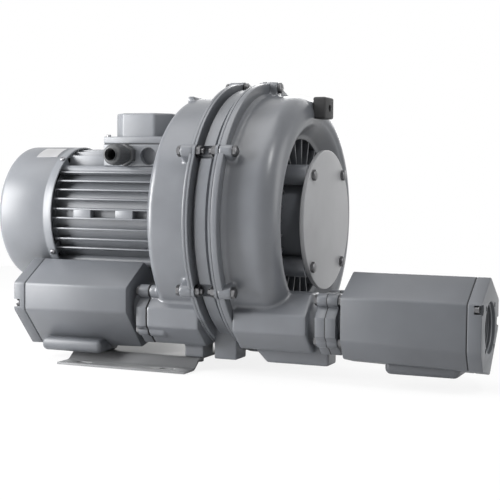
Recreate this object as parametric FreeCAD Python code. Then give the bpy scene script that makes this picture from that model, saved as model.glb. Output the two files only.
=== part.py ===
# Two-stage side channel blower: motor, two impeller stages and two silencers
# on a bent base plate. Millimetres.
# X runs along the shaft towards the front cover, Y across, Z up.
# The origin is on the floor, in the middle of the four base plate slots.
import math
import os

import FreeCAD
import Part

os.makedirs("parts", exist_ok=True)

# Shaft axis, fits and clearances
BASE_HEIGHT = 16.0
FLANGE_RADIUS = 190.0
GROUND_GAP = 1.0
AXIS_Z = BASE_HEIGHT + GROUND_GAP + FLANGE_RADIUS
RUNNING_FIT = 0.05
SEAT_FIT = 0.02
THREAD_FIT = 0.05
SCREW_CLEARANCE = 0.5
FREE_CLEARANCE = 0.3
IMPELLER_GAP = 0.5
EDGE_MATCH = 0.1

# Fasteners: M8 for the casings, smaller ones for the motor and its boxes
M8 = 8.0
M8_FLATS = 13.0
M8_HEAD = 5.3
M8_NUT = 6.5
M6 = 6.0
M6_CAP_HEAD = 10.0
M5 = 5.0
M5_FLATS = 8.0
M5_HEAD = 3.5
M4 = 4.0
M4_HEAD = 7.0

# Base plate, a bent sheet with a raised middle and two slotted flanges
BASE_BACK = -100.0
BASE_FRONT = 98.0
BASE_HALF = 145.0
BASE_BEND_HALF = 112.0
BASE_TOP_HALF = 95.0
SHEET = 3.0
BASE_CORNER = 10.0
SLOT_X = 65.0
SLOT_Y = 128.5
SLOT_LENGTH = 24.0
SLOT_WIDTH = 11.0

# Feet of the three casings
FOOT_HALF = 95.0
FOOT_INNER = 60.0
FOOT_TOP = 66.0
REAR_FOOT_BACK = 75.0
REAR_FOOT_FRONT = 103.0
MIDDLE_FOOT_BACK = 120.0
FRONT_FOOT_BACK = 180.0
FRONT_FOOT_STEP = 267.0
FRONT_TOE_FRONT = 285.0
FRONT_TOE_TOP = 45.0
FRONT_FOOT_FAR_FRONT = 232.0
FRONT_FOOT_FACET = 18.0
FOOT_BOLT_X = 89.0
FOOT_BOLT_Y = 78.0
FOOT_THREAD = 16.0

# Planes that split the casings along the shaft
REAR_WALL_BACK = 50.0
REAR_WALL_FRONT = 58.0
REAR_FLANGE_BACK = 114.0
REAR_JOINT = 118.0
FRONT_JOINT = 155.0
FRONT_FLANGE_FRONT = 163.5
CREST_X = 234.0
HUB_END = 241.3
REAR_FACE_X = 88.5

# Radii of the casings and of the gas channels
REAR_FLANGE_STEP = 0.5
REAR_FLANGE_RADIUS = FLANGE_RADIUS - REAR_FLANGE_STEP
FLANGE_WIDTH = 18.0
COVER_RADIUS = FLANGE_RADIUS - FLANGE_WIDTH
CASING_STEP = 2.0
CASING_RADIUS = COVER_RADIUS - CASING_STEP
CASING_WALL = 6.0
CHAMBER_RADIUS = CASING_RADIUS - CASING_WALL
CHANNEL_STEP = 6.0
CHANNEL_OUTER = CHAMBER_RADIUS - CHANNEL_STEP
CHANNEL_INNER = 118.0
CHANNEL_CHAMFER = 12.0
CASING_CORNER = 10.0
LIFTING_LUG_HEIGHT = 5.0
LIFTING_LUG_TOP = AXIS_Z + CASING_RADIUS + LIFTING_LUG_HEIGHT
RIB_RING = 106.0

# Six bolts hold each casing joint
STAGE_BOLT_INSET = 6.0
STAGE_BOLT_CIRCLE = FLANGE_RADIUS - STAGE_BOLT_INSET
STAGE_BOLT_COUNT = 6
STAGE_BOLT_START = 30.0
LUG_RADIUS = 9.0
REAR_LUG_BACK = 99.0
FRONT_LUG_FRONT = 174.0
REAR_STUD_END = 132.0
FRONT_STUD_END = 140.0
MIDDLE_RIM_FLANGE = 4.0
MIDDLE_BAND_STEP = 8.0
MIDDLE_BAND_RADIUS = FLANGE_RADIUS - MIDDLE_BAND_STEP
MIDDLE_GROOVE_RADIUS = COVER_RADIUS
MIDDLE_GROOVE = 3.0
NUT_POCKET_RADIUS = 10.0

# Middle casing: hollow, it leads the gas from the front stage to the rear one
PLENUM_BACK = 126.0
PLENUM_FRONT = 147.0
PLENUM_INNER = 60.0
PLENUM_WALL = 10.0
PLENUM_OUTER = CASING_RADIUS - PLENUM_WALL
TRANSFER_INNER = 122.0
TRANSFER_STEP = 3.0
TRANSFER_OUTER = CHANNEL_OUTER - TRANSFER_STEP
TRANSFER_SWEEP = 18.0
FRONT_TRANSFER_START = 188.0
REAR_TRANSFER_START = 260.0
STRIPPER_SWEEP = 16.0
FRONT_STRIPPER_START = 207.0
REAR_STRIPPER_START = 243.0

# Front cover: rounded ring, ribbed pocket and bearing hub
CREST_BOW = 29.5
CREST_RADIUS = COVER_RADIUS - CREST_BOW
COVER_NECK_RADIUS = COVER_RADIUS + SHEET + 1.0
FRONT_CHANNEL_SHOULDER = 210.0
FRONT_CHANNEL_BOTTOM = 225.0
FRONT_CHANNEL_SLOPE = 10.0
FRONT_CHANNEL_OUTER_EDGE = CHANNEL_OUTER - FRONT_CHANNEL_SLOPE
FRONT_CHANNEL_INNER_EDGE = 137.0
FRONT_CHANNEL_THROAT = 205.0
LIP_X = 231.0
LIP_INSET = 1.5
LIP_WIDTH = 7.0
LIP_OUTER = CREST_RADIUS - LIP_INSET
LIP_INNER = LIP_OUTER - LIP_WIDTH
POCKET_RING_X = 210.0
POCKET_RING_OUTER = 117.0
POCKET_RING_INNER = 112.0
POCKET_FLOOR_X = 191.0
COVER_FACE_X = 184.5
RIB_COUNT = 24
RIB_WIDTH = 3.0
HUB_RADIUS = 75.0
HUB_POCKET_INNER = 45.0
HUB_POCKET_OUTER = 69.0
HUB_POCKET_FLOOR = 200.0
HUB_BOSS_RADIUS = 14.0
HUB_BOLT_CIRCLE = 88.0
HUB_BOLT_COUNT = 4
HUB_BOLT_START = 45.0
HUB_BOLT_THREAD = 20.0
LOCKNUT_RECESS = 32.0
LOCKNUT_RECESS_FRONT = 196.0
HUB_COVER_BACK = 242.3
HUB_COVER_FRONT = 248.7
HUB_COVER_RADIUS = 97.0

# Rubber-faced pad on the crest, on which the blower can stand upright
PAD_BACK = 231.0
PAD_FRONT = 250.0
PAD_STEP = 2.0
PAD_HEIGHT = 30.0
PAD_TOP = AXIS_Z + COVER_RADIUS - PAD_STEP
PAD_BOTTOM = PAD_TOP - PAD_HEIGHT
PAD_HALF = 18.0
PAD_BOSS_BACK = 196.0
PAD_SEAT_HEIGHT = 7.0
PAD_BOSS_BOTTOM = PAD_BOTTOM - PAD_SEAT_HEIGHT
PAD_SCREW_LENGTH = 12.0
PAD_SCREW_DEPTH = 12.0

# Bearings, sealed, the same size at both ends
BEARING_BORE = 15.0
BEARING_SPLIT = 21.0
BEARING_RADIUS = 36.0
BEARING_WIDTH = 19.0
REAR_BEARING_X = -150.0
FRONT_BEARING_X = 214.0

# Shaft with its impellers
SHAFT_BACK = -212.0
SHAFT_FRONT = 236.0
CLIP_WIDTH = 2.0
FAN_SEAT = 12.0
FAN_SEAT_END = -152.0
CORE_SEAT = 19.0
IMPELLER_SEAT = 17.5
LOCKNUT_BACK = 184.0
LOCKNUT_FRONT = 192.0
LOCKNUT_FLATS = 46.0
SEAL_SEAT = 16.0
SEAL_RADIUS = 26.0
SEAL_FRONT = 204.0
KEY_WIDTH = 10.0
KEY_HEIGHT = 8.0
KEY_BOTTOM = 13.0
KEY_LENGTH = 22.0
IMPELLER_TIP_GAP = 0.6
IMPELLER_RADIUS = CHAMBER_RADIUS - IMPELLER_TIP_GAP
IMPELLER_HUB = 36.0
IMPELLER_GROOVE = 22.0
IMPELLER_CHAMFER = 8.0
IMPELLER_WEB = 8.0
IMPELLER_RING = 110.0
VANE_COUNT = 36
VANE_THICKNESS = 3.0
SPACER_RADIUS = 24.0

# Motor
FRAME_BACK = -140.0
COWL_RADIUS = 100.0
COWL_SHEET = 2.0
FIN_DEPTH = 20.0
FRAME_WALL = 5.0
FRAME_RADIUS = COWL_RADIUS - FIN_DEPTH
FRAME_BORE = FRAME_RADIUS - FRAME_WALL
FIN_STEP = 6.5
FIN_TIP = COWL_RADIUS - FIN_STEP
FIN_THICKNESS = 3.0
FIN_FRONT = 45.0
SIDE_FIN_HEIGHTS = (62.5, 49.9, 37.4, 24.2, 9.9, -3.4, -18.5, -33.1, -46.7)
TOP_FIN_OFFSETS = (-42.0, -28.0, -14.0, 0.0, 14.0, 28.0, 42.0)
TOP_FIN_TIP = COWL_RADIUS - SHEET
PEDESTAL_HALF = 50.0
FIN_PAD_STARTS = (-105.0, -37.0)
FIN_PAD_LENGTH = 28.0
FIN_PAD_HEIGHT = 12.0
CORNER_ANGLES = (49.5, 130.5, 229.5, 310.5)
TIE_ROD_CIRCLE = FRAME_RADIUS + M6
CORNER_BOSS = 7.0
STATOR_BACK = -85.0
STATOR_FRONT = 10.0
CORE_DEPTH = 25.0
STATOR_BORE = FRAME_BORE - CORE_DEPTH
AIR_GAP = 0.4
END_RING_LENGTH = 10.0
END_RING_STEP = 5.0
END_RING_OUTER = STATOR_BORE - END_RING_STEP
END_RING_INNER = 30.0
WINDING_LENGTH = 26.0
WINDING_INSET = 4.0
WINDING_GAP = 5.0
WINDING_INNER = STATOR_BORE + WINDING_INSET
WINDING_OUTER = FRAME_BORE - WINDING_GAP
SHIELD_BACK = -152.0
SHIELD_RIM = 4.0
SHIELD_RADIUS = FRAME_RADIUS + SHIELD_RIM
SHIELD_HUB = 46.0
SHIELD_SPIGOT = 6.0

# Fan and its cowl
COWL_BACK = -229.7
COWL_FRONT = -138.0
COWL_CORNER = 10.0
COWL_SCREW_SEAT_X = -143.0
COWL_SCREW_ANGLES = (54.0, 126.0, 212.0, 328.0)
COWL_LUG_GAP = 0.4
COWL_LUG_RADIUS = COWL_RADIUS - COWL_SHEET - COWL_LUG_GAP
COWL_SCREW_GRIP = 6.6
COWL_SCREW_TIP = COWL_LUG_RADIUS - COWL_SCREW_GRIP
COWL_LUG_HALF = 8.0
GRILLE_SLOT = 14.0
GRILLE_INSETS = (70.0, 50.0, 30.0)
GRILLE_SECTORS = 6
GRILLE_BAR_ANGLE = 8.0
FAN_BACK = -205.0
FAN_FRONT = -160.0
FAN_HUB = 22.0
FAN_GAP = 13.0
FAN_RADIUS = COWL_RADIUS - COWL_SHEET - FAN_GAP
FAN_DISC_X = -178.0
FAN_SHEET = 3.0
FAN_BLADE_FRONT = -165.0
FAN_BLADE_COUNT = 7

# Terminal box on top of the motor
BOX_BACK = -74.0
BOX_FRONT = 37.0
BOX_HALF = 60.0
BOX_DEPTH = 18.0
BOX_SKIRT = 10.0
BOX_RIM_HEIGHT = 17.5
BOX_GASKET = 1.0
BOX_WALL = 4.0
BOX_SEAT = AXIS_Z + COWL_RADIUS - BOX_DEPTH
BOX_SKIRT_BOTTOM = BOX_SEAT - BOX_SKIRT
BOX_FLOOR = BOX_SEAT + BOX_WALL
BOX_RIM = BOX_FLOOR + BOX_RIM_HEIGHT
LID_RIM = 10.0
LID_RIM_TOP = BOX_RIM + BOX_GASKET + LID_RIM
LID_BACK = -65.0
LID_FRONT = 26.0
LID_HALF = 57.0
LID_HEIGHT = 33.5
LID_TOP = LID_RIM_TOP + LID_HEIGHT
LID_CORNER = 20.0
LID_WALL = 4.0
LID_SCREW_INSET = 5.5
GLAND_X = -35.6
GLAND_RISE = 2.0
GLAND_Z = BOX_FLOOR + GLAND_RISE
ENTRY_X = -1.5
ENTRY_RISE = 0.5
ENTRY_Z = BOX_FLOOR + ENTRY_RISE
ENTRY_RADIUS = 12.5
GLAND_BORE = 8.5
GLAND_HEX = 28.0
GLAND_HEX_LENGTH = 10.0
GLAND_NUT_LENGTH = 30.0
GLAND_NUT_RADIUS = 14.5
GLAND_END = -110.0
GLAND_SLEEVE = 11.5
CABLE_HOLE = 9.0
CABLE_HOLE_X = 22.0
CABLE_HOLE_Y = 25.0
BLOCK_HALF_X = 26.0
BLOCK_HALF_Y = 16.0
BLOCK_HEIGHT = 16.0
STUD_COUNT = 3
STUD_PITCH = 16.0
STUD_ROW = 8.0
STUD_RADIUS = 2.5
STUD_LENGTH = 12.0

# Gas ports: bolted adaptors with a two-inch nipple
PORT_Y = -95.0
PORT_HEIGHT = 65.0
PORT_Z = BASE_HEIGHT + PORT_HEIGHT
PORT_BORE = 24.0
NECK_HALF = 42.0
NECK_TOP = 33.0
NECK_BOTTOM = 46.0
NECK_FLAT = 14.0
NECK_SIDE_TOP = 5.0
NECK_SIDE_BOTTOM = 20.0
NECK_ROUND = 29.0
PORT_LUG = 9.0
PORT_LUG_LENGTH = 24.0
PORT_BOLT_CIRCLE = 37.5
PORT_BOLT_START = 45.0
PORT_THREAD = 16.0
REAR_NECK_END = 36.0
REAR_PORT_BORE_END = 80.0
FRONT_TUBE_BACK = 164.0
FRONT_TUBE_END = 268.0
FRONT_FLANGE_BACK = 280.0
FRONT_NECK_END = 293.0
FRONT_PORT_BORE_START = 196.0
PORT_GASKET = 1.0
ADAPTOR_FLANGE = 14.0
NIPPLE_RADIUS = 29.8
NIPPLE_BORE = 25.0
NIPPLE_GRIP = 18.0
SILENCER_GAP = 10.0

# Silencers: cans with seven flat sides and a screwed cap, the same part at
# both ends; (side, height) corners round the gas port, lower ones drop with the taper
SILENCER_BODY = 161.0
SILENCER_CAP = 19.0
SILENCER_HALF = 53.5
SILENCER_UPPER_CORNERS = ((-SILENCER_HALF, 34.0), (0.0, 64.0), (SILENCER_HALF, 32.0))
SILENCER_LOWER_CORNERS = ((SILENCER_HALF, -2.0), (5.0, -55.5), (-40.0, -46.0), (-SILENCER_HALF, -22.0))
SILENCER_TAPER = 5.0
SILENCER_WALL = 4.0
SILENCER_END_WALL = 6.0
SILENCER_COLLAR = 36.0
SILENCER_COLLAR_DEPTH = 22.0
SILENCER_EDGE = 3.0
CAP_RECESS = 33.0
CAP_RECESS_DEPTH = 4.0
CAP_HOLE_CIRCLE = 37.5
CAP_HOLE_START = 45.0
CAP_HOLE_DEPTH = 12.0
CAP_HOLE_RADIUS = 3.4
CAP_POCKET_RADIUS = 7.0
CAP_SCREW_CENTRES = ((-49.0, 27.0), (49.0, 3.0))
CAP_SCREW_BOSS = 8.0
CAP_SCREW_POCKET = 10.0
CAP_SCREW_LENGTH = 22.0
CAP_GASKET = 1.0
SILENCER_PAD_START = 50.0
SILENCER_PAD_END = 147.0
SILENCER_PAD_NEAR = -24.0
SILENCER_PAD_FAR = 35.0
SILENCER_PAD_TOP = -46.0
SILENCER_PAD_CORNER = 8.0
PAD_BOLT_X = -80.0
PAD_BOLT_Y = -86.0
FOAM_GAP = 14.0
TUBE_WALL = 1.5


# Plain shapes placed along the three axes
def at(x, y, z):
    return FreeCAD.Vector(x, y, z)


def block(x0, x1, y0, y1, z0, z1):
    return Part.makeBox(x1 - x0, y1 - y0, z1 - z0, at(x0, y0, z0))


def rod_x(x0, x1, radius, y=0.0, z=AXIS_Z):
    return Part.makeCylinder(radius, x1 - x0, at(x0, y, z), at(1, 0, 0))


def rod_y(y0, y1, radius, x, z):
    return Part.makeCylinder(radius, y1 - y0, at(x, y0, z), at(0, 1, 0))


def rod_z(z0, z1, radius, x, y):
    return Part.makeCylinder(radius, z1 - z0, at(x, y, z0), at(0, 0, 1))


def tube_x(x0, x1, outer, inner, y=0.0, z=AXIS_Z):
    return rod_x(x0, x1, outer, y, z).cut(rod_x(x0, x1, inner, y, z))


def polygon(points):
    return Part.Face(Part.makePolygon(points + points[:1]))


def profile_along_x(points, x0, x1):
    face = polygon([at(x0, y, z) for y, z in points])
    return face.extrude(at(x1 - x0, 0, 0))


# Position on a circle round the shaft, the angle counted from +Y towards +Z
def polar(radius, angle):
    turn = math.radians(angle)
    return radius * math.cos(turn), AXIS_Z + radius * math.sin(turn)


def ring_angles(count, start):
    return [start + step * 360.0 / count for step in range(count)]


# Solid turned round the shaft from (x, radius) corners; bows holds the middle
# points of the edges that are arcs
def turned(corners, bows=None, start=0.0, sweep=360.0):
    edges = []
    for index, (x, radius) in enumerate(corners):
        next_x, next_radius = corners[(index + 1) % len(corners)]
        first = at(x, radius, AXIS_Z)
        last = at(next_x, next_radius, AXIS_Z)
        if bows and index in bows:
            middle = at(bows[index][0], bows[index][1], AXIS_Z)
            edges.append(Part.Arc(first, middle, last).toShape())
        else:
            edges.append(Part.LineSegment(first, last).toShape())
    face = Part.Face(Part.Wire(edges))
    face.rotate(at(0, 0, AXIS_Z), at(1, 0, 0), start)
    return face.revolve(at(0, 0, AXIS_Z), at(1, 0, 0), sweep)


def turn_about_shaft(shape, angle):
    shape.rotate(at(0, 0, AXIS_Z), at(1, 0, 0), angle)
    return shape


def hexagon_x(x0, x1, flats, y, z):
    reach = flats / math.sqrt(3.0)
    points = []
    for angle in ring_angles(6, 0.0):
        turn = math.radians(angle)
        points.append((y + reach * math.cos(turn), z + reach * math.sin(turn)))
    return profile_along_x(points, x0, x1)


# Bolt along X: the head lies between head_x and seat_x, the shank ends at tip_x
def hex_bolt_x(head_x, seat_x, tip_x, diameter, flats, y, z):
    head = hexagon_x(min(head_x, seat_x), max(head_x, seat_x), flats, y, z)
    shank = rod_x(min(seat_x, tip_x), max(seat_x, tip_x), diameter / 2, y, z)
    return head.fuse(shank)


def nut_x(x0, x1, y, z):
    hole = rod_x(x0, x1, M8 / 2 + THREAD_FIT, y, z)
    return hexagon_x(x0, x1, M8_FLATS, y, z).cut(hole)


def save(name, shape):
    shape.exportStep("parts/" + name + ".step")


def save_group(name, shapes):
    save(name, Part.makeCompound(shapes))


def stage_bolt_centres():
    return [polar(STAGE_BOLT_CIRCLE, angle) for angle in ring_angles(STAGE_BOLT_COUNT, STAGE_BOLT_START)]


def hub_bolt_centres():
    return [polar(HUB_BOLT_CIRCLE, angle) for angle in ring_angles(HUB_BOLT_COUNT, HUB_BOLT_START)]


def port_bolt_centres(circle=PORT_BOLT_CIRCLE):
    centres = []
    for angle in ring_angles(4, PORT_BOLT_START):
        turn = math.radians(angle)
        centres.append((PORT_Y + circle * math.cos(turn), PORT_Z + circle * math.sin(turn)))
    return centres


def foot(x0, x1, side):
    inner, outer = sorted((side * FOOT_INNER, side * FOOT_HALF))
    return block(x0, x1, inner, outer, BASE_HEIGHT, FOOT_TOP)


# Lug at each stage bolt, joined to the casing by a short web
def stage_lugs(x0, x1):
    lugs = []
    for angle in ring_angles(STAGE_BOLT_COUNT, STAGE_BOLT_START):
        top = AXIS_Z + STAGE_BOLT_CIRCLE
        lug = rod_x(x0, x1, LUG_RADIUS, 0.0, top)
        web = block(x0, x1, -LUG_RADIUS, LUG_RADIUS, AXIS_Z + CHAMBER_RADIUS + SHEET, top)
        lugs.append(turn_about_shaft(lug.fuse(web), angle - 90.0))
    return lugs


def neck_section():
    return [
        (PORT_Y - NECK_FLAT, PORT_Z + NECK_TOP),
        (PORT_Y + NECK_FLAT, PORT_Z + NECK_TOP),
        (PORT_Y + NECK_HALF, PORT_Z + NECK_SIDE_TOP),
        (PORT_Y + NECK_HALF, PORT_Z - NECK_SIDE_BOTTOM),
        (PORT_Y + NECK_FLAT, PORT_Z - NECK_BOTTOM),
        (PORT_Y - NECK_FLAT, PORT_Z - NECK_BOTTOM),
        (PORT_Y - NECK_HALF, PORT_Z - NECK_SIDE_BOTTOM),
        (PORT_Y - NECK_HALF, PORT_Z + NECK_SIDE_TOP),
    ]


# Outline of a bolted port joint: the neck section with a round lug at each bolt
def port_outline(x0, x1):
    lugs = [rod_x(x0, x1, PORT_LUG, y, z) for y, z in port_bolt_centres()]
    return profile_along_x(neck_section(), x0, x1).multiFuse(lugs)


# Base plate and the bolts that hold the machine on it
def base_plate():
    slope = BASE_BEND_HALF - BASE_TOP_HALF
    outer_bend = BASE_BEND_HALF + SHEET / 2
    inner_top = BASE_TOP_HALF - SHEET / 2
    half = [
        (BASE_TOP_HALF, BASE_HEIGHT),
        (outer_bend, SHEET),
        (BASE_HALF, SHEET),
        (BASE_HALF, 0.0),
        (inner_top + slope + SHEET / 2, 0.0),
        (inner_top, BASE_HEIGHT - SHEET),
    ]
    mirrored = [(-y, z) for y, z in reversed(half)]
    plate = profile_along_x(half + mirrored, BASE_BACK, BASE_FRONT)
    corners = []
    for edge in plate.Edges:
        middle = edge.CenterOfMass
        if abs(abs(middle.y) - BASE_HALF) < EDGE_MATCH and abs(edge.Length - SHEET) < EDGE_MATCH:
            corners.append(edge)
    plate = plate.makeFillet(BASE_CORNER, corners)
    for x in (-SLOT_X, SLOT_X):
        for y in (-SLOT_Y, SLOT_Y):
            reach = (SLOT_LENGTH - SLOT_WIDTH) / 2
            slot = block(x - reach, x + reach, y - SLOT_WIDTH / 2, y + SLOT_WIDTH / 2, 0.0, SHEET)
            for end in (x - reach, x + reach):
                slot = slot.fuse(rod_z(0.0, SHEET, SLOT_WIDTH / 2, end, y))
            plate = plate.cut(slot)
    for x, y in base_bolt_centres():
        plate = plate.cut(rod_z(0.0, BASE_HEIGHT, M8 / 2 + SCREW_CLEARANCE, x, y))
    save("base_plate", plate)


def base_bolt_centres():
    return [(FOOT_BOLT_X, -FOOT_BOLT_Y), (FOOT_BOLT_X, FOOT_BOLT_Y), (PAD_BOLT_X, PAD_BOLT_Y)]


def hex_bolt_up(x, y, length):
    seat = BASE_HEIGHT - SHEET
    reach = M8_FLATS / math.sqrt(3.0)
    points = []
    for angle in ring_angles(6, 0.0):
        turn = math.radians(angle)
        points.append(at(x + reach * math.cos(turn), y + reach * math.sin(turn), seat - M8_HEAD))
    head = polygon(points).extrude(at(0, 0, M8_HEAD))
    return head.fuse(rod_z(seat, BASE_HEIGHT + length, M8 / 2, x, y))


def base_plate_bolts():
    bolts = []
    for x, y in base_bolt_centres():
        bolts.append(hex_bolt_up(x, y, FOOT_THREAD - 2.0 if x > 0 else M8))
    save_group("base_plate_bolts", bolts)


# Gas channels as (x, radius) corners
def rear_channel():
    return [
        (REAR_FACE_X, CHANNEL_OUTER),
        (REAR_WALL_FRONT + CHANNEL_CHAMFER, CHANNEL_OUTER),
        (REAR_WALL_FRONT, CHANNEL_OUTER - CHANNEL_CHAMFER),
        (REAR_WALL_FRONT, CHANNEL_INNER + CHANNEL_CHAMFER),
        (REAR_WALL_FRONT + CHANNEL_CHAMFER, CHANNEL_INNER),
        (REAR_FACE_X, CHANNEL_INNER),
    ]


def front_channel():
    return [
        (COVER_FACE_X, CHANNEL_OUTER),
        (FRONT_CHANNEL_SHOULDER, CHANNEL_OUTER),
        (FRONT_CHANNEL_BOTTOM, FRONT_CHANNEL_OUTER_EDGE),
        (FRONT_CHANNEL_BOTTOM, FRONT_CHANNEL_INNER_EDGE),
        (FRONT_CHANNEL_THROAT, CHANNEL_INNER + SHEET),
        (COVER_FACE_X, CHANNEL_INNER + SHEET),
    ]


# Rear casing: drum with a side channel, open to the rear impeller, a bored
# neck for the rear port, two feet and a flange with six bolt lugs
def rear_housing():
    casing = turned([
        (REAR_WALL_BACK, 0.0),
        (REAR_WALL_BACK, CASING_RADIUS - CASING_CORNER),
        (REAR_WALL_BACK + CASING_CORNER, CASING_RADIUS),
        (REAR_FLANGE_BACK, CASING_RADIUS),
        (REAR_FLANGE_BACK, REAR_FLANGE_RADIUS),
        (REAR_JOINT, REAR_FLANGE_RADIUS),
        (REAR_JOINT, 0.0),
    ])
    neck = profile_along_x(neck_section(), REAR_WALL_BACK, REAR_FLANGE_BACK)
    joint = port_outline(REAR_NECK_END, REAR_NECK_END + PORT_LUG_LENGTH)
    casing = casing.multiFuse([neck, joint] + stage_lugs(REAR_LUG_BACK, REAR_JOINT))
    casing = casing.fuse(foot(REAR_FOOT_BACK, REAR_FOOT_FRONT, -1))
    casing = casing.fuse(foot(REAR_FOOT_BACK, REAR_FOOT_FRONT, 1))
    lifting_lug = block(REAR_WALL_BACK, REAR_WALL_BACK + M8, -M8, M8, AXIS_Z + RIB_RING, LIFTING_LUG_TOP)
    casing = casing.fuse(lifting_lug)
    chamber = rod_x(REAR_FACE_X, REAR_JOINT, CHAMBER_RADIUS)
    channel = turned(rear_channel())
    recess = rod_x(REAR_WALL_FRONT, REAR_JOINT, RIB_RING)
    seal_bore = rod_x(REAR_WALL_BACK, REAR_WALL_FRONT, SPACER_RADIUS)
    port = rod_x(REAR_NECK_END, REAR_PORT_BORE_END, PORT_BORE, PORT_Y, PORT_Z)
    casing = casing.cut([chamber, channel, recess, seal_bore, port])
    stripper = turned(rear_channel(), None, REAR_STRIPPER_START, STRIPPER_SWEEP)
    casing = casing.fuse(stripper)
    holes = []
    for y, z in stage_bolt_centres():
        holes.append(rod_x(REAR_LUG_BACK, REAR_JOINT, M8 / 2 + SCREW_CLEARANCE, y, z))
    for y, z in port_bolt_centres():
        holes.append(rod_x(REAR_NECK_END, REAR_NECK_END + PORT_THREAD, M8 / 2 + THREAD_FIT, y, z))
    for y in (-FOOT_BOLT_Y, FOOT_BOLT_Y):
        holes.append(rod_z(BASE_HEIGHT, BASE_HEIGHT + FOOT_THREAD, M8 / 2 + THREAD_FIT, FOOT_BOLT_X, y))
    for angle in CORNER_ANGLES:
        y, z = polar(TIE_ROD_CIRCLE, angle)
        holes.append(rod_x(REAR_WALL_BACK, REAR_WALL_FRONT, M6 / 2 + THREAD_FIT, y, z))
    save("rear_housing", casing.cut(holes))


# Middle casing: hollow ring between the impellers, with one opening from the
# front stage and one to the rear stage
def middle_housing():
    body = turned([
        (REAR_JOINT, SPACER_RADIUS + SCREW_CLEARANCE),
        (REAR_JOINT, REAR_FLANGE_RADIUS),
        (REAR_JOINT + MIDDLE_RIM_FLANGE, REAR_FLANGE_RADIUS),
        (REAR_JOINT + MIDDLE_RIM_FLANGE, MIDDLE_GROOVE_RADIUS),
        (REAR_JOINT + MIDDLE_RIM_FLANGE + MIDDLE_GROOVE, MIDDLE_GROOVE_RADIUS),
        (REAR_JOINT + MIDDLE_RIM_FLANGE + MIDDLE_GROOVE, MIDDLE_BAND_RADIUS),
        (FRONT_JOINT - MIDDLE_RIM_FLANGE - MIDDLE_GROOVE, MIDDLE_BAND_RADIUS),
        (FRONT_JOINT - MIDDLE_RIM_FLANGE - MIDDLE_GROOVE, MIDDLE_GROOVE_RADIUS),
        (FRONT_JOINT - MIDDLE_RIM_FLANGE, MIDDLE_GROOVE_RADIUS),
        (FRONT_JOINT - MIDDLE_RIM_FLANGE, FLANGE_RADIUS),
        (FRONT_JOINT, FLANGE_RADIUS),
        (FRONT_JOINT, SPACER_RADIUS + SCREW_CLEARANCE),
    ])
    for side in (-1, 1):
        body = body.fuse(foot(MIDDLE_FOOT_BACK, FRONT_JOINT - MIDDLE_RIM_FLANGE / 2, side))
    lugs = stage_lugs(REAR_JOINT, REAR_JOINT + MIDDLE_RIM_FLANGE)
    lugs += stage_lugs(FRONT_JOINT - MIDDLE_RIM_FLANGE, FRONT_JOINT)
    body = body.multiFuse(lugs)
    plenum = rod_x(PLENUM_BACK, PLENUM_FRONT, PLENUM_OUTER)
    plenum = plenum.cut(rod_x(PLENUM_BACK, PLENUM_FRONT, PLENUM_INNER))
    cuts = [plenum]
    openings = (
        (REAR_JOINT, PLENUM_BACK, REAR_TRANSFER_START),
        (PLENUM_FRONT, FRONT_JOINT, FRONT_TRANSFER_START),
    )
    for back, front, start in openings:
        corners = [
            (back, TRANSFER_INNER),
            (back, TRANSFER_OUTER),
            (front, TRANSFER_OUTER),
            (front, TRANSFER_INNER),
        ]
        cuts.append(turned(corners, None, start, TRANSFER_SWEEP))
    for y, z in stage_bolt_centres():
        cuts.append(rod_x(REAR_JOINT, FRONT_JOINT, M8 / 2 + SCREW_CLEARANCE, y, z))
        pocket_front = FRONT_JOINT - MIDDLE_RIM_FLANGE
        cuts.append(rod_x(REAR_JOINT + MIDDLE_RIM_FLANGE, pocket_front, NUT_POCKET_RADIUS, y, z))
    save("middle_housing", body.cut(cuts))


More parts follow.
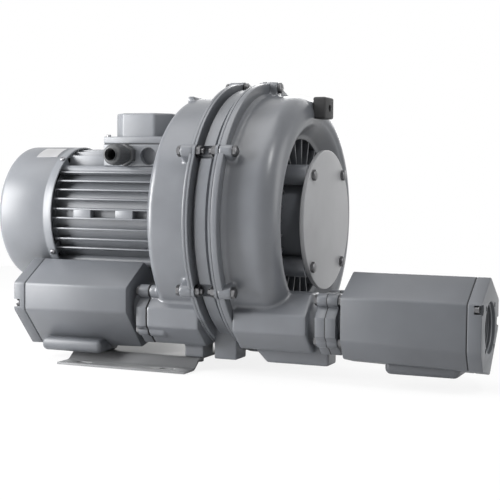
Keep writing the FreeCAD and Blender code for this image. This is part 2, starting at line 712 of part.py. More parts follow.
# Front cover: rounded ring over the front channel, a pocket with radial ribs,
# the bearing hub, the long tube to the front port and its feet
def front_cover():
    corners = [
        (FRONT_JOINT, 0.0),
        (FRONT_JOINT, FLANGE_RADIUS),
        (FRONT_FLANGE_FRONT, FLANGE_RADIUS),
        (FRONT_FLANGE_FRONT, COVER_NECK_RADIUS),
        (FRONT_FLANGE_FRONT + SHEET, COVER_RADIUS),
        (CREST_X - CREST_BOW, COVER_RADIUS),
        (CREST_X, CREST_RADIUS),
        (LIP_X, LIP_OUTER),
        (LIP_X, LIP_INNER),
        (POCKET_RING_X, POCKET_RING_OUTER),
        (POCKET_RING_X, POCKET_RING_INNER),
        (POCKET_FLOOR_X, POCKET_RING_INNER),
        (POCKET_FLOOR_X, HUB_RADIUS),
        (HUB_END, HUB_RADIUS),
        (HUB_END, 0.0),
    ]
    bow = CREST_BOW * math.sqrt(0.5)
    crest = (CREST_X - CREST_BOW + bow, CREST_RADIUS + bow)
    cover = turned(corners, {5: crest})
    adds = []
    for angle in ring_angles(RIB_COUNT, 0.0):
        rib = block(POCKET_FLOOR_X - 1.0, POCKET_RING_X, -RIB_WIDTH / 2, RIB_WIDTH / 2,
                    AXIS_Z + HUB_RADIUS - 1.0, AXIS_Z + POCKET_RING_INNER + 1.0)
        adds.append(turn_about_shaft(rib, angle))
    for y, z in hub_bolt_centres():
        adds.append(rod_x(POCKET_FLOOR_X - 1.0, HUB_COVER_BACK, HUB_BOSS_RADIUS, y, z))
    adds += stage_lugs(FRONT_JOINT, FRONT_LUG_FRONT)
    adds.append(profile_along_x(neck_section(), FRONT_TUBE_BACK, FRONT_TUBE_END))
    adds.append(rod_x(FRONT_TUBE_END, FRONT_FLANGE_BACK, NECK_ROUND, PORT_Y, PORT_Z))
    adds.append(port_outline(FRONT_FLANGE_BACK, FRONT_NECK_END))
    near_foot = foot(FRONT_FOOT_BACK, FRONT_FOOT_STEP, -1)
    toe = block(FRONT_FOOT_STEP, FRONT_TOE_FRONT, -FOOT_HALF, -FOOT_INNER, BASE_HEIGHT, FRONT_TOE_TOP)
    far_foot = foot(FRONT_FOOT_BACK, FRONT_FOOT_FAR_FRONT, 1)
    facet_points = [
        at(FRONT_FOOT_BACK, 0, BASE_HEIGHT),
        at(FRONT_FOOT_BACK + FRONT_FOOT_FACET, 0, BASE_HEIGHT),
        at(FRONT_FOOT_BACK, 0, BASE_HEIGHT + FRONT_FOOT_FACET),
    ]
    facet = polygon(facet_points).extrude(at(0, 2 * FOOT_HALF, 0))
    facet.translate(at(0, -FOOT_HALF, 0))
    adds += [near_foot, toe, far_foot]
    adds.append(block(PAD_BOSS_BACK, PAD_BACK, -PAD_HALF, PAD_HALF, PAD_BOSS_BOTTOM, PAD_TOP - SHEET * 2))
    cover = cover.multiFuse(adds)
    cuts = [facet]
    cuts.append(block(PAD_BACK, PAD_FRONT, -PAD_HALF, PAD_HALF, PAD_BOTTOM, PAD_TOP))
    cuts.append(rod_x(FRONT_JOINT, COVER_FACE_X, CHAMBER_RADIUS))
    cuts.append(turned(front_channel()))
    cuts.append(rod_x(COVER_FACE_X, LOCKNUT_RECESS_FRONT, LOCKNUT_RECESS))
    cuts.append(rod_x(LOCKNUT_RECESS_FRONT, SEAL_FRONT, SEAL_RADIUS))
    cuts.append(rod_x(SEAL_FRONT, FRONT_BEARING_X, BEARING_SPLIT))
    cuts.append(rod_x(FRONT_BEARING_X, HUB_END, BEARING_RADIUS + SEAT_FIT))
    cuts.append(tube_x(HUB_POCKET_FLOOR, HUB_END, HUB_POCKET_OUTER, HUB_POCKET_INNER))
    cuts.append(rod_x(FRONT_PORT_BORE_START, FRONT_NECK_END, PORT_BORE, PORT_Y, PORT_Z))
    cover = cover.cut(cuts)
    cover = cover.fuse(turned(front_channel(), None, FRONT_STRIPPER_START, STRIPPER_SWEEP))
    holes = []
    for y, z in stage_bolt_centres():
        holes.append(rod_x(FRONT_JOINT, FRONT_LUG_FRONT, M8 / 2 + SCREW_CLEARANCE, y, z))
    for y, z in hub_bolt_centres():
        holes.append(rod_x(HUB_COVER_BACK - HUB_BOLT_THREAD, HUB_COVER_BACK, M8 / 2 + THREAD_FIT, y, z))
    for y, z in port_bolt_centres():
        holes.append(rod_x(FRONT_FLANGE_BACK, FRONT_NECK_END, M8 / 2 + SCREW_CLEARANCE, y, z))
    pad_z = (PAD_BOTTOM + PAD_TOP) / 2
    holes.append(rod_x(PAD_BACK - PAD_SCREW_LENGTH, PAD_BACK, M5 / 2 + THREAD_FIT, 0.0, pad_z))
    save("front_cover", cover.cut(holes))


def stage_bolts_and_nuts():
    rear_bolts = []
    rear_nuts = []
    front_bolts = []
    front_nuts = []
    rear_seat = REAR_JOINT + MIDDLE_RIM_FLANGE
    front_seat = FRONT_JOINT - MIDDLE_RIM_FLANGE
    for y, z in stage_bolt_centres():
        rear_head = REAR_LUG_BACK - M8_HEAD
        rear_bolts.append(hex_bolt_x(rear_head, REAR_LUG_BACK, REAR_STUD_END, M8, M8_FLATS, y, z))
        rear_nuts.append(nut_x(rear_seat, rear_seat + M8_NUT, y, z))
        front_head = FRONT_LUG_FRONT + M8_HEAD
        front_bolts.append(hex_bolt_x(front_head, FRONT_LUG_FRONT, FRONT_STUD_END, M8, M8_FLATS, y, z))
        front_nuts.append(nut_x(front_seat - M8_NUT, front_seat, y, z))
    save_group("rear_stage_bolts", rear_bolts)
    save_group("rear_stage_nuts", rear_nuts)
    save_group("front_stage_bolts", front_bolts)
    save_group("front_stage_nuts", front_nuts)


# Hub cover with a spigot that holds the front bearing, its gasket and bolts
def hub_cover():
    disc = rod_x(HUB_COVER_BACK, HUB_COVER_FRONT, HUB_COVER_RADIUS)
    spigot = tube_x(FRONT_BEARING_X + BEARING_WIDTH, HUB_COVER_BACK, BEARING_RADIUS - FREE_CLEARANCE,
                    BEARING_RADIUS - SHEET * 2)
    disc = disc.fuse(spigot)
    bolts = []
    for y, z in hub_bolt_centres():
        disc = disc.cut(rod_x(HUB_COVER_BACK, HUB_COVER_FRONT, M8 / 2 + SCREW_CLEARANCE, y, z))
        tip = HUB_COVER_BACK - HUB_BOLT_THREAD + SHEET
        head = HUB_COVER_FRONT + M8_HEAD
        bolts.append(hex_bolt_x(head, HUB_COVER_FRONT, tip, M8, M8_FLATS, y, z))
    save("hub_cover", disc)
    save_group("hub_cover_bolts", bolts)
    gasket = tube_x(HUB_END, HUB_COVER_BACK, HUB_POCKET_OUTER + SHEET, BEARING_RADIUS + FREE_CLEARANCE)
    save("hub_cover_gasket", gasket)


def front_pad():
    pad_z = (PAD_BOTTOM + PAD_TOP) / 2
    pad = block(PAD_BACK, PAD_FRONT, -PAD_HALF, PAD_HALF, PAD_BOTTOM, PAD_TOP)
    upright = []
    for edge in pad.Edges:
        middle = edge.CenterOfMass
        if abs(middle.x - PAD_FRONT) < EDGE_MATCH:
            upright.append(edge)
    pad = pad.makeChamfer(SHEET, upright)
    pad = pad.cut(rod_x(PAD_BACK, PAD_FRONT, M5 / 2 + SCREW_CLEARANCE, 0.0, pad_z))
    sink = M5_FLATS / 2 + SCREW_CLEARANCE * 2
    pad = pad.cut(rod_x(PAD_FRONT - PAD_SCREW_DEPTH, PAD_FRONT, sink, 0.0, pad_z))
    save("front_pad", pad)
    seat = PAD_FRONT - PAD_SCREW_DEPTH
    screw = rod_x(seat, seat + M5_HEAD, M5_FLATS / 2, 0.0, pad_z)
    screw = screw.fuse(rod_x(PAD_BACK - PAD_SCREW_LENGTH + 1.0, seat, M5 / 2, 0.0, pad_z))
    save("front_pad_screw", screw)


def shaft_seals():
    rear = tube_x(REAR_WALL_BACK, REAR_WALL_FRONT, SPACER_RADIUS - SEAT_FIT, CORE_SEAT + FREE_CLEARANCE)
    front = tube_x(LOCKNUT_RECESS_FRONT, SEAL_FRONT, SEAL_RADIUS - SEAT_FIT, SEAL_SEAT + FREE_CLEARANCE)
    save_group("shaft_seals", [rear, front])


# Impeller: hub, thin web and a ring with a vaned groove; face is where the
# groove opens and way is the direction from the face into the impeller
def impeller(face, way):
    def along(depth):
        return face + way * depth

    width = REAR_JOINT - IMPELLER_GAP - (REAR_FACE_X + IMPELLER_GAP)
    middle = width / 2
    blank = turned([
        (along(0.0), IMPELLER_SEAT + SEAT_FIT),
        (along(0.0), IMPELLER_HUB),
        (along(middle - IMPELLER_WEB / 2), IMPELLER_HUB),
        (along(middle - IMPELLER_WEB / 2), IMPELLER_RING),
        (along(0.0), IMPELLER_RING),
        (along(0.0), CHANNEL_INNER),
        (along(IMPELLER_GROOVE - IMPELLER_CHAMFER), CHANNEL_INNER),
        (along(IMPELLER_GROOVE), CHANNEL_INNER + IMPELLER_CHAMFER),
        (along(IMPELLER_GROOVE), CHANNEL_OUTER - IMPELLER_CHAMFER),
        (along(IMPELLER_GROOVE - IMPELLER_CHAMFER), CHANNEL_OUTER),
        (along(0.0), CHANNEL_OUTER),
        (along(0.0), IMPELLER_RADIUS),
        (along(width), IMPELLER_RADIUS),
        (along(width), IMPELLER_RING),
        (along(middle + IMPELLER_WEB / 2), IMPELLER_RING),
        (along(middle + IMPELLER_WEB / 2), IMPELLER_HUB),
        (along(width), IMPELLER_HUB),
        (along(width), IMPELLER_SEAT + SEAT_FIT),
    ])
    vanes = []
    near, far = sorted((along(0.0), along(IMPELLER_GROOVE + 1.0)))
    for angle in ring_angles(VANE_COUNT, 0.0):
        vane = block(near, far, -VANE_THICKNESS / 2, VANE_THICKNESS / 2,
                     AXIS_Z + CHANNEL_INNER - 1.0, AXIS_Z + CHANNEL_OUTER + 1.0)
        vanes.append(turn_about_shaft(vane, angle))
    wheel = blank.multiFuse(vanes)
    back, front = sorted((along(0.0), along(width)))
    keyway = block(back, front, -KEY_WIDTH / 2 - SEAT_FIT, KEY_WIDTH / 2 + SEAT_FIT,
                   AXIS_Z, AXIS_Z + KEY_BOTTOM + KEY_HEIGHT + SCREW_CLEARANCE)
    return wheel.cut(keyway)


def rotor():
    rear_face = REAR_FACE_X + IMPELLER_GAP
    rear_back = REAR_JOINT - IMPELLER_GAP
    front_back = FRONT_JOINT + IMPELLER_GAP
    front_face = COVER_FACE_X - IMPELLER_GAP
    save("rear_impeller", impeller(rear_face, 1))
    save("front_impeller", impeller(front_face, -1))
    save("impeller_spacer", tube_x(rear_back, front_back, SPACER_RADIUS, IMPELLER_SEAT + SEAT_FIT))
    locknut = hexagon_x(LOCKNUT_BACK, LOCKNUT_FRONT, LOCKNUT_FLATS, 0.0, AXIS_Z)
    save("impeller_locknut", locknut.cut(rod_x(LOCKNUT_BACK, LOCKNUT_FRONT, IMPELLER_SEAT + SEAT_FIT)))
    shaft = turned([
        (SHAFT_BACK, 0.0),
        (SHAFT_BACK, FAN_SEAT),
        (FAN_BACK - CLIP_WIDTH, FAN_SEAT),
        (FAN_BACK - CLIP_WIDTH, FAN_SEAT - 1.0),
        (FAN_BACK, FAN_SEAT - 1.0),
        (FAN_BACK, FAN_SEAT),
        (FAN_SEAT_END, FAN_SEAT),
        (FAN_SEAT_END, BEARING_BORE - SEAT_FIT),
        (REAR_BEARING_X + BEARING_WIDTH, BEARING_BORE - SEAT_FIT),
        (REAR_BEARING_X + BEARING_WIDTH, CORE_SEAT),
        (rear_face, CORE_SEAT),
        (rear_face, IMPELLER_SEAT),
        (LOCKNUT_FRONT, IMPELLER_SEAT),
        (LOCKNUT_FRONT, SEAL_SEAT),
        (FRONT_BEARING_X, SEAL_SEAT),
        (FRONT_BEARING_X, BEARING_BORE - SEAT_FIT),
        (SHAFT_FRONT, BEARING_BORE - SEAT_FIT),
        (SHAFT_FRONT, 0.0),
    ])
    keys = []
    for middle in ((rear_face + rear_back) / 2, (front_face + front_back) / 2):
        back = middle - KEY_LENGTH / 2
        front = middle + KEY_LENGTH / 2
        key = block(back, front, -KEY_WIDTH / 2, KEY_WIDTH / 2, AXIS_Z + KEY_BOTTOM,
                    AXIS_Z + KEY_BOTTOM + KEY_HEIGHT)
        keys.append(key)
        shaft = shaft.cut(key)
    save("rotor_shaft", shaft)
    save_group("impeller_keys", keys)
    core = tube_x(STATOR_BACK, STATOR_FRONT, STATOR_BORE - AIR_GAP, CORE_SEAT + SEAT_FIT)
    save("rotor_core", core)
    rings = []
    for back in (STATOR_BACK - END_RING_LENGTH, STATOR_FRONT):
        rings.append(tube_x(back, back + END_RING_LENGTH, END_RING_OUTER, END_RING_INNER))
    save_group("rotor_end_rings", rings)


def bearings():
    for name, back in (("rear", REAR_BEARING_X), ("front", FRONT_BEARING_X)):
        front = back + BEARING_WIDTH
        save(name + "_bearing_outer", tube_x(back, front, BEARING_RADIUS, BEARING_SPLIT + RUNNING_FIT))
        save(name + "_bearing_inner", tube_x(back, front, BEARING_SPLIT, BEARING_BORE))


# Motor frame: barrel with cooling fins, corner bosses for the tie rods and the
# flat seat of the terminal box
def motor_frame():
    frame = rod_x(FRAME_BACK, REAR_WALL_BACK, FRAME_RADIUS)
    adds = []
    for height in SIDE_FIN_HEIGHTS:
        reach = math.sqrt(FIN_TIP ** 2 - height ** 2)
        z = AXIS_Z + height
        half = FIN_THICKNESS / 2
        adds.append(block(FRAME_BACK, FIN_FRONT, -reach, reach, z - half, z + half))
    for offset in TOP_FIN_OFFSETS:
        reach = math.sqrt(TOP_FIN_TIP ** 2 - offset ** 2)
        adds.append(block(FRAME_BACK, FIN_FRONT, offset - FIN_THICKNESS / 2, offset + FIN_THICKNESS / 2,
                          AXIS_Z - reach, AXIS_Z + reach))
    for angle in CORNER_ANGLES:
        y, z = polar(TIE_ROD_CIRCLE, angle)
        adds.append(rod_x(FRAME_BACK, REAR_WALL_BACK, CORNER_BOSS, y, z))
    for start in FIN_PAD_STARTS:
        z = AXIS_Z + (SIDE_FIN_HEIGHTS[4] + SIDE_FIN_HEIGHTS[5]) / 2
        adds.append(block(start, start + FIN_PAD_LENGTH, 1.0 - FIN_TIP, FIN_TIP - 1.0,
                          z - FIN_PAD_HEIGHT / 2, z + FIN_PAD_HEIGHT / 2))
    frame = frame.multiFuse(adds)
    clear_top = block(BOX_BACK - FIN_THICKNESS, BOX_FRONT + FIN_THICKNESS, -FIN_TIP, FIN_TIP,
                      BOX_SKIRT_BOTTOM, AXIS_Z + FIN_TIP * 2)
    barrel_top = rod_x(BOX_BACK - FIN_THICKNESS, BOX_FRONT + FIN_THICKNESS, FRAME_RADIUS)
    frame = frame.cut(clear_top.cut(barrel_top))
    pedestal = block(BOX_BACK, BOX_FRONT, -PEDESTAL_HALF, PEDESTAL_HALF, AXIS_Z + FRAME_BORE / 2, BOX_SEAT)
    frame = frame.fuse(pedestal)
    cuts = [rod_x(FRAME_BACK, REAR_WALL_BACK, FRAME_BORE)]
    cuts.append(rod_z(AXIS_Z, BOX_SEAT, CABLE_HOLE, CABLE_HOLE_X, CABLE_HOLE_Y))
    for angle in CORNER_ANGLES:
        y, z = polar(TIE_ROD_CIRCLE, angle)
        cuts.append(rod_x(FRAME_BACK, REAR_WALL_BACK, M6 / 2 + FREE_CLEARANCE, y, z))
    save("motor_frame", frame.cut(cuts))


def rear_end_shield():
    shield = turned([
        (SHIELD_BACK, BEARING_BORE + SCREW_CLEARANCE),
        (SHIELD_BACK, SHIELD_HUB),
        (SHIELD_BACK + SHIELD_SPIGOT, SHIELD_HUB),
        (SHIELD_BACK + SHIELD_SPIGOT, SHIELD_RADIUS),
        (FRAME_BACK, SHIELD_RADIUS),
        (FRAME_BACK, FRAME_BORE - SEAT_FIT),
        (FRAME_BACK + SHIELD_SPIGOT, FRAME_BORE - SEAT_FIT),
        (FRAME_BACK + SHIELD_SPIGOT, FRAME_BORE - SHIELD_SPIGOT),
        (FRAME_BACK, FRAME_BORE - SHIELD_SPIGOT),
        (FRAME_BACK, SHIELD_HUB),
        (REAR_BEARING_X + BEARING_WIDTH, SHIELD_HUB),
        (REAR_BEARING_X + BEARING_WIDTH, BEARING_RADIUS + SEAT_FIT),
        (REAR_BEARING_X, BEARING_RADIUS + SEAT_FIT),
        (REAR_BEARING_X, BEARING_BORE + SCREW_CLEARANCE),
    ])
    adds = []
    cuts = []
    for angle in CORNER_ANGLES:
        y, z = polar(TIE_ROD_CIRCLE, angle)
        adds.append(rod_x(SHIELD_BACK + SHIELD_SPIGOT, FRAME_BACK, CORNER_BOSS, y, z))
        cuts.append(rod_x(SHIELD_BACK, FRAME_BACK, M6 / 2 + FREE_CLEARANCE, y, z))
    for angle in COWL_SCREW_ANGLES:
        lug = block(SHIELD_BACK + SHIELD_SPIGOT, COWL_FRONT - COWL_SHEET, -COWL_LUG_HALF, COWL_LUG_HALF,
                    AXIS_Z + FRAME_BORE, AXIS_Z + COWL_LUG_RADIUS)
        adds.append(turn_about_shaft(lug, angle - 90.0))
        hole = rod_z(AXIS_Z + COWL_SCREW_TIP, AXIS_Z + COWL_RADIUS, M5 / 2 + THREAD_FIT,
                     COWL_SCREW_SEAT_X, 0.0)
        cuts.append(turn_about_shaft(hole, angle - 90.0))
    save("rear_end_shield", shield.multiFuse(adds).cut(cuts))


def tie_rods():
    rods = []
    seat = SHIELD_BACK + SHIELD_SPIGOT
    for angle in CORNER_ANGLES:
        y, z = polar(TIE_ROD_CIRCLE, angle)
        rods.append(hex_bolt_x(seat - M5_HEAD, seat, REAR_WALL_FRONT, M6, M5_FLATS, y, z))
    save_group("tie_rods", rods)


def stator():
    save("stator_core", tube_x(STATOR_BACK, STATOR_FRONT, FRAME_BORE - SEAT_FIT, STATOR_BORE))
    windings = []
    chamfer = (WINDING_OUTER - WINDING_INNER) / 4
    for start, way in ((STATOR_BACK, -1), (STATOR_FRONT, 1)):
        end = start + way * WINDING_LENGTH
        windings.append(turned([
            (start, WINDING_INNER),
            (end - way * chamfer, WINDING_INNER),
            (end, WINDING_INNER + chamfer),
            (end, WINDING_OUTER - chamfer),
            (end - way * chamfer, WINDING_OUTER),
            (start, WINDING_OUTER),
        ]))
    save_group("stator_winding", windings)


# Fan cowl with a grille of ring slots in its end wall
def fan_cowl():
    inner = COWL_RADIUS - COWL_SHEET
    cowl = turned([
        (COWL_BACK, 0.0),
        (COWL_BACK, COWL_RADIUS - COWL_CORNER),
        (COWL_BACK + COWL_CORNER, COWL_RADIUS),
        (COWL_FRONT, COWL_RADIUS),
        (COWL_FRONT, inner),
        (COWL_BACK + COWL_CORNER, inner),
        (COWL_BACK + COWL_SHEET, COWL_RADIUS - COWL_CORNER),
        (COWL_BACK + COWL_SHEET, 0.0),
    ], {1: cowl_corner(COWL_RADIUS, COWL_CORNER), 5: cowl_corner(inner, COWL_CORNER - COWL_SHEET)})
    cuts = []
    for inset in GRILLE_INSETS:
        inside = COWL_RADIUS - inset
        outside = inside + GRILLE_SLOT
        for start in ring_angles(GRILLE_SECTORS, GRILLE_BAR_ANGLE / 2):
            corners = [
                (COWL_BACK, inside),
                (COWL_BACK, outside),
                (COWL_BACK + COWL_SHEET, outside),
                (COWL_BACK + COWL_SHEET, inside),
            ]
            cuts.append(turned(corners, None, start, 360.0 / GRILLE_SECTORS - GRILLE_BAR_ANGLE))
    screws = []
    for angle in COWL_SCREW_ANGLES:
        hole = rod_z(AXIS_Z + inner - COWL_SHEET, AXIS_Z + COWL_RADIUS, M5 / 2 + FREE_CLEARANCE,
                     COWL_SCREW_SEAT_X, 0.0)
        cuts.append(turn_about_shaft(hole, angle - 90.0))
        head_z = AXIS_Z + COWL_RADIUS
        screw = rod_z(head_z, head_z + M5_HEAD, M5_FLATS / 2, COWL_SCREW_SEAT_X, 0.0)
        screw = screw.fuse(rod_z(AXIS_Z + COWL_SCREW_TIP, head_z, M5 / 2, COWL_SCREW_SEAT_X, 0.0))
        screws.append(turn_about_shaft(screw, angle - 90.0))
    save("fan_cowl", cowl.cut(cuts))
    save_group("fan_cowl_screws", screws)


def cowl_corner(radius, corner):
    short = corner * (1.0 - math.sqrt(0.5))
    return COWL_BACK + COWL_CORNER - corner + short, radius - short


def cooling_fan():
    hub = tube_x(FAN_BACK, FAN_FRONT, FAN_HUB, FAN_SEAT + SEAT_FIT)
    disc = tube_x(FAN_DISC_X, FAN_DISC_X + FAN_SHEET, FAN_RADIUS, FAN_SEAT + SEAT_FIT)
    parts = [disc]
    for angle in ring_angles(FAN_BLADE_COUNT, 90.0):
        blade = block(FAN_BACK, FAN_BLADE_FRONT, -FAN_SHEET / 2, FAN_SHEET / 2,
                      AXIS_Z + FAN_HUB - 2.0, AXIS_Z + FAN_RADIUS)
        parts.append(turn_about_shaft(blade, angle))
    save("cooling_fan", hub.multiFuse(parts))
    save("fan_clip", tube_x(FAN_BACK - CLIP_WIDTH, FAN_BACK, FAN_SEAT + SHEET, FAN_SEAT - 1.0 + SEAT_FIT))


# Terminal box: base on the motor, gasket, lid with cut-off corners, terminal
# block with studs, one cable gland and one open entry
def lid_corners(back, front, half, corner, z):
    return [
        at(back, -half + corner, z),
        at(back + corner, -half, z),
        at(front - corner, -half, z),
        at(front, -half + corner, z),
        at(front, half - corner, z),
        at(front - corner, half, z),
        at(back + corner, half, z),
        at(back, half - corner, z),
    ]


def lid_screw_centres():
    centres = []
    for x in (BOX_BACK + LID_SCREW_INSET, BOX_FRONT - LID_SCREW_INSET):
        for y in (-BOX_HALF + LID_SCREW_INSET, BOX_HALF - LID_SCREW_INSET):
            centres.append((x, y))
    return centres


def terminal_box():
    base = block(BOX_BACK, BOX_FRONT, -BOX_HALF, BOX_HALF, BOX_SKIRT_BOTTOM, BOX_RIM)
    saddle = block(BOX_BACK, BOX_FRONT, -PEDESTAL_HALF, PEDESTAL_HALF, BOX_SKIRT_BOTTOM, BOX_SEAT)
    inside = lid_corners(BOX_BACK + BOX_WALL, BOX_FRONT - BOX_WALL, PEDESTAL_HALF, BOX_WALL * 2, BOX_FLOOR)
    cavity = polygon(inside).extrude(at(0, 0, BOX_RIM - BOX_FLOOR))
    cuts = [saddle, cavity]
    cuts.append(rod_y(-BOX_HALF, -PEDESTAL_HALF, ENTRY_RADIUS, GLAND_X, GLAND_Z))
    cuts.append(rod_y(-BOX_HALF, -PEDESTAL_HALF, ENTRY_RADIUS, ENTRY_X, ENTRY_Z))
    cuts.append(rod_z(BOX_SEAT, BOX_FLOOR, CABLE_HOLE, CABLE_HOLE_X, CABLE_HOLE_Y))
    gasket = block(BOX_BACK + 1.0, BOX_FRONT - 1.0, 1.0 - BOX_HALF, BOX_HALF - 1.0,
                   BOX_RIM, BOX_RIM + BOX_GASKET)
    gasket_hole = polygon(inside).extrude(at(0, 0, BOX_RIM + BOX_GASKET - BOX_FLOOR))
    gasket = gasket.cut(gasket_hole)
    lid_back = BOX_RIM + BOX_GASKET
    lid = block(BOX_BACK, BOX_FRONT, -BOX_HALF, BOX_HALF, lid_back, LID_RIM_TOP)
    top = polygon(lid_corners(LID_BACK, LID_FRONT, LID_HALF, LID_CORNER, lid_back))
    lid = lid.fuse(top.extrude(at(0, 0, LID_TOP - lid_back)))
    hollow = polygon(lid_corners(LID_BACK + LID_WALL, LID_FRONT - LID_WALL, LID_HALF - LID_WALL,
                                 LID_CORNER, lid_back))
    lid = lid.cut(hollow.extrude(at(0, 0, LID_TOP - LID_WALL - lid_back)))
    screws = []
    for x, y in lid_screw_centres():
        cuts.append(rod_z(BOX_FLOOR, BOX_RIM, M4 / 2 + THREAD_FIT, x, y))
        clearance = rod_z(BOX_RIM, LID_RIM_TOP, M4 / 2 + FREE_CLEARANCE, x, y)
        gasket = gasket.cut(clearance)
        lid = lid.cut(clearance)
        screw = rod_z(LID_RIM_TOP, LID_RIM_TOP + SHEET, M4_HEAD / 2, x, y)
        screws.append(screw.fuse(rod_z(BOX_FLOOR + SHEET, LID_RIM_TOP, M4 / 2, x, y)))
    save("terminal_box_base", base.cut(cuts))
    save("terminal_box_gasket", gasket)
    save("terminal_box_lid", lid)
    save_group("terminal_lid_screws", screws)


def terminal_board():
    middle = (BOX_BACK + BOX_FRONT) / 2
    board = block(middle - BLOCK_HALF_X, middle + BLOCK_HALF_X, -BLOCK_HALF_Y, BLOCK_HALF_Y,
                  BOX_FLOOR, BOX_FLOOR + BLOCK_HEIGHT)
    top = BOX_FLOOR + BLOCK_HEIGHT
    studs = []
    for step in range(STUD_COUNT):
        x = middle + (step - (STUD_COUNT - 1) / 2) * STUD_PITCH
        for y in (-STUD_ROW, STUD_ROW):
            studs.append(rod_z(top - STUD_LENGTH / 2, top + STUD_LENGTH, STUD_RADIUS, x, y))
            board = board.cut(rod_z(top - STUD_LENGTH / 2, top, STUD_RADIUS + SEAT_FIT, x, y))
    save("terminal_block", board)
    save_group("terminal_studs", studs)


def cable_gland():
    collar = GLAND_HEX_LENGTH - BOX_HALF - GLAND_HEX_LENGTH * 2
    hexagon = hexagon_x(0.0, GLAND_HEX_LENGTH, GLAND_HEX, 0.0, 0.0)
    hexagon.rotate(at(0, 0, 0), at(0, 0, 1), -90.0)
    hexagon.translate(at(GLAND_X, -BOX_HALF, GLAND_Z))
    thread = rod_y(-BOX_HALF, -PEDESTAL_HALF, ENTRY_RADIUS - THREAD_FIT, GLAND_X, GLAND_Z)
    sleeve = rod_y(collar - GLAND_HEX_LENGTH * 2, collar, GLAND_SLEEVE, GLAND_X, GLAND_Z)
    body = hexagon.multiFuse([thread, sleeve])
    bore = rod_y(collar - GLAND_HEX_LENGTH * 2, -PEDESTAL_HALF, GLAND_BORE, GLAND_X, GLAND_Z)
    save("cable_gland_body", body.cut(bore))
    nut_back = GLAND_END + GLAND_NUT_LENGTH
    nut = rod_y(GLAND_END, nut_back, GLAND_NUT_RADIUS, GLAND_X, GLAND_Z)
    mouth = []
    for edge in nut.Edges:
        if abs(edge.CenterOfMass.y - GLAND_END) < EDGE_MATCH and len(edge.Vertexes) == 1:
            mouth.append(edge)
    nut = nut.makeChamfer(SHEET, mouth)
    inside = rod_y(GLAND_END + SHEET * 2, nut_back, GLAND_SLEEVE + THREAD_FIT, GLAND_X, GLAND_Z)
    nut = nut.cut(inside)
    nut = nut.cut(rod_y(GLAND_END, nut_back, GLAND_BORE, GLAND_X, GLAND_Z))
    save("cable_gland_nut", nut)
    seal = rod_y(GLAND_END + SHEET * 2, collar - GLAND_HEX_LENGTH * 2, GLAND_SLEEVE - FREE_CLEARANCE,
                 GLAND_X, GLAND_Z)
    seal = seal.cut(rod_y(GLAND_END, nut_back, GLAND_BORE - 1.0, GLAND_X, GLAND_Z))
    save("cable_gland_seal", seal)


# Port adaptors: bolted flange and nipple, gaskets and bolts
def port_adaptors():
    gaskets = []
    adaptors = (
        ("rear_port_adaptor", REAR_NECK_END, -1),
        ("front_port_adaptor", FRONT_NECK_END, 1),
    )
    for name, joint, way in adaptors:
        gasket_x = sorted((joint, joint + way * PORT_GASKET))
        seat = joint + way * PORT_GASKET
        flange_x = sorted((seat, seat + way * ADAPTOR_FLANGE))
        tip = seat + way * (ADAPTOR_FLANGE + SILENCER_GAP + NIPPLE_GRIP)
        gasket = port_outline(gasket_x[0], gasket_x[1])
        flange = port_outline(flange_x[0], flange_x[1])
        nipple_x = sorted((seat, tip))
        adaptor = flange.fuse(rod_x(nipple_x[0], nipple_x[1], NIPPLE_RADIUS, PORT_Y, PORT_Z))
        bore = rod_x(nipple_x[0], nipple_x[1], NIPPLE_BORE, PORT_Y, PORT_Z)
        gasket = gasket.cut(rod_x(gasket_x[0], gasket_x[1], NIPPLE_BORE, PORT_Y, PORT_Z))
        for y, z in port_bolt_centres():
            hole = rod_x(min(joint, flange_x[0]), max(joint, flange_x[1]), M8 / 2 + SCREW_CLEARANCE, y, z)
            adaptor = adaptor.cut(hole)
            gasket = gasket.cut(hole)
        save(name, adaptor.cut(bore))
        gaskets.append(gasket)
    save_group("port_gaskets", gaskets)


def port_bolts():
    rear = []
    front = []
    nuts = []
    rear_seat = REAR_NECK_END - PORT_GASKET - ADAPTOR_FLANGE
    front_seat = FRONT_NECK_END + PORT_GASKET + ADAPTOR_FLANGE
    for y, z in port_bolt_centres():
        tip = REAR_NECK_END + PORT_THREAD - 1.0
        rear.append(hex_bolt_x(rear_seat - M8_HEAD, rear_seat, tip, M8, M8_FLATS, y, z))
        head = FRONT_FLANGE_BACK - M8_HEAD
        front.append(hex_bolt_x(head, FRONT_FLANGE_BACK, front_seat + M8_NUT + 1.0, M8, M8_FLATS, y, z))
        nuts.append(nut_x(front_seat, front_seat + M8_NUT, y, z))
    save_group("rear_port_bolts", rear)
    save_group("front_port_bolts", front)
    save_group("front_port_nuts", nuts)


# Silencer can, built with its blower end at x = 0 and its cap towards +X, then
# placed at either port; inset shrinks the section for the hollow and the foam
def silencer_section(x, inset=0.0):
    drop = SILENCER_TAPER * x / (SILENCER_BODY + SILENCER_CAP)
    points = [at(x, y, z) for y, z in SILENCER_UPPER_CORNERS]
    points += [at(x, y, z - drop) for y, z in SILENCER_LOWER_CORNERS]
    outline = Part.makePolygon(points + points[:1])
    if inset:
        return outline.makeOffset2D(-inset, 2)
    return outline


def silencer_prism(x0, x1, inset=0.0):
    return Part.makeLoft([silencer_section(x0, inset), silencer_section(x1, inset)], True, True)


def rounded_can(x0, x1):
    can = silencer_prism(x0, x1)
    ridges = []
    for edge in can.Edges:
        ends = [vertex.X for vertex in edge.Vertexes]
        if abs(ends[0] - ends[1]) > 1.0:
            ridges.append(edge)
    return can.makeFillet(SILENCER_EDGE, ridges)


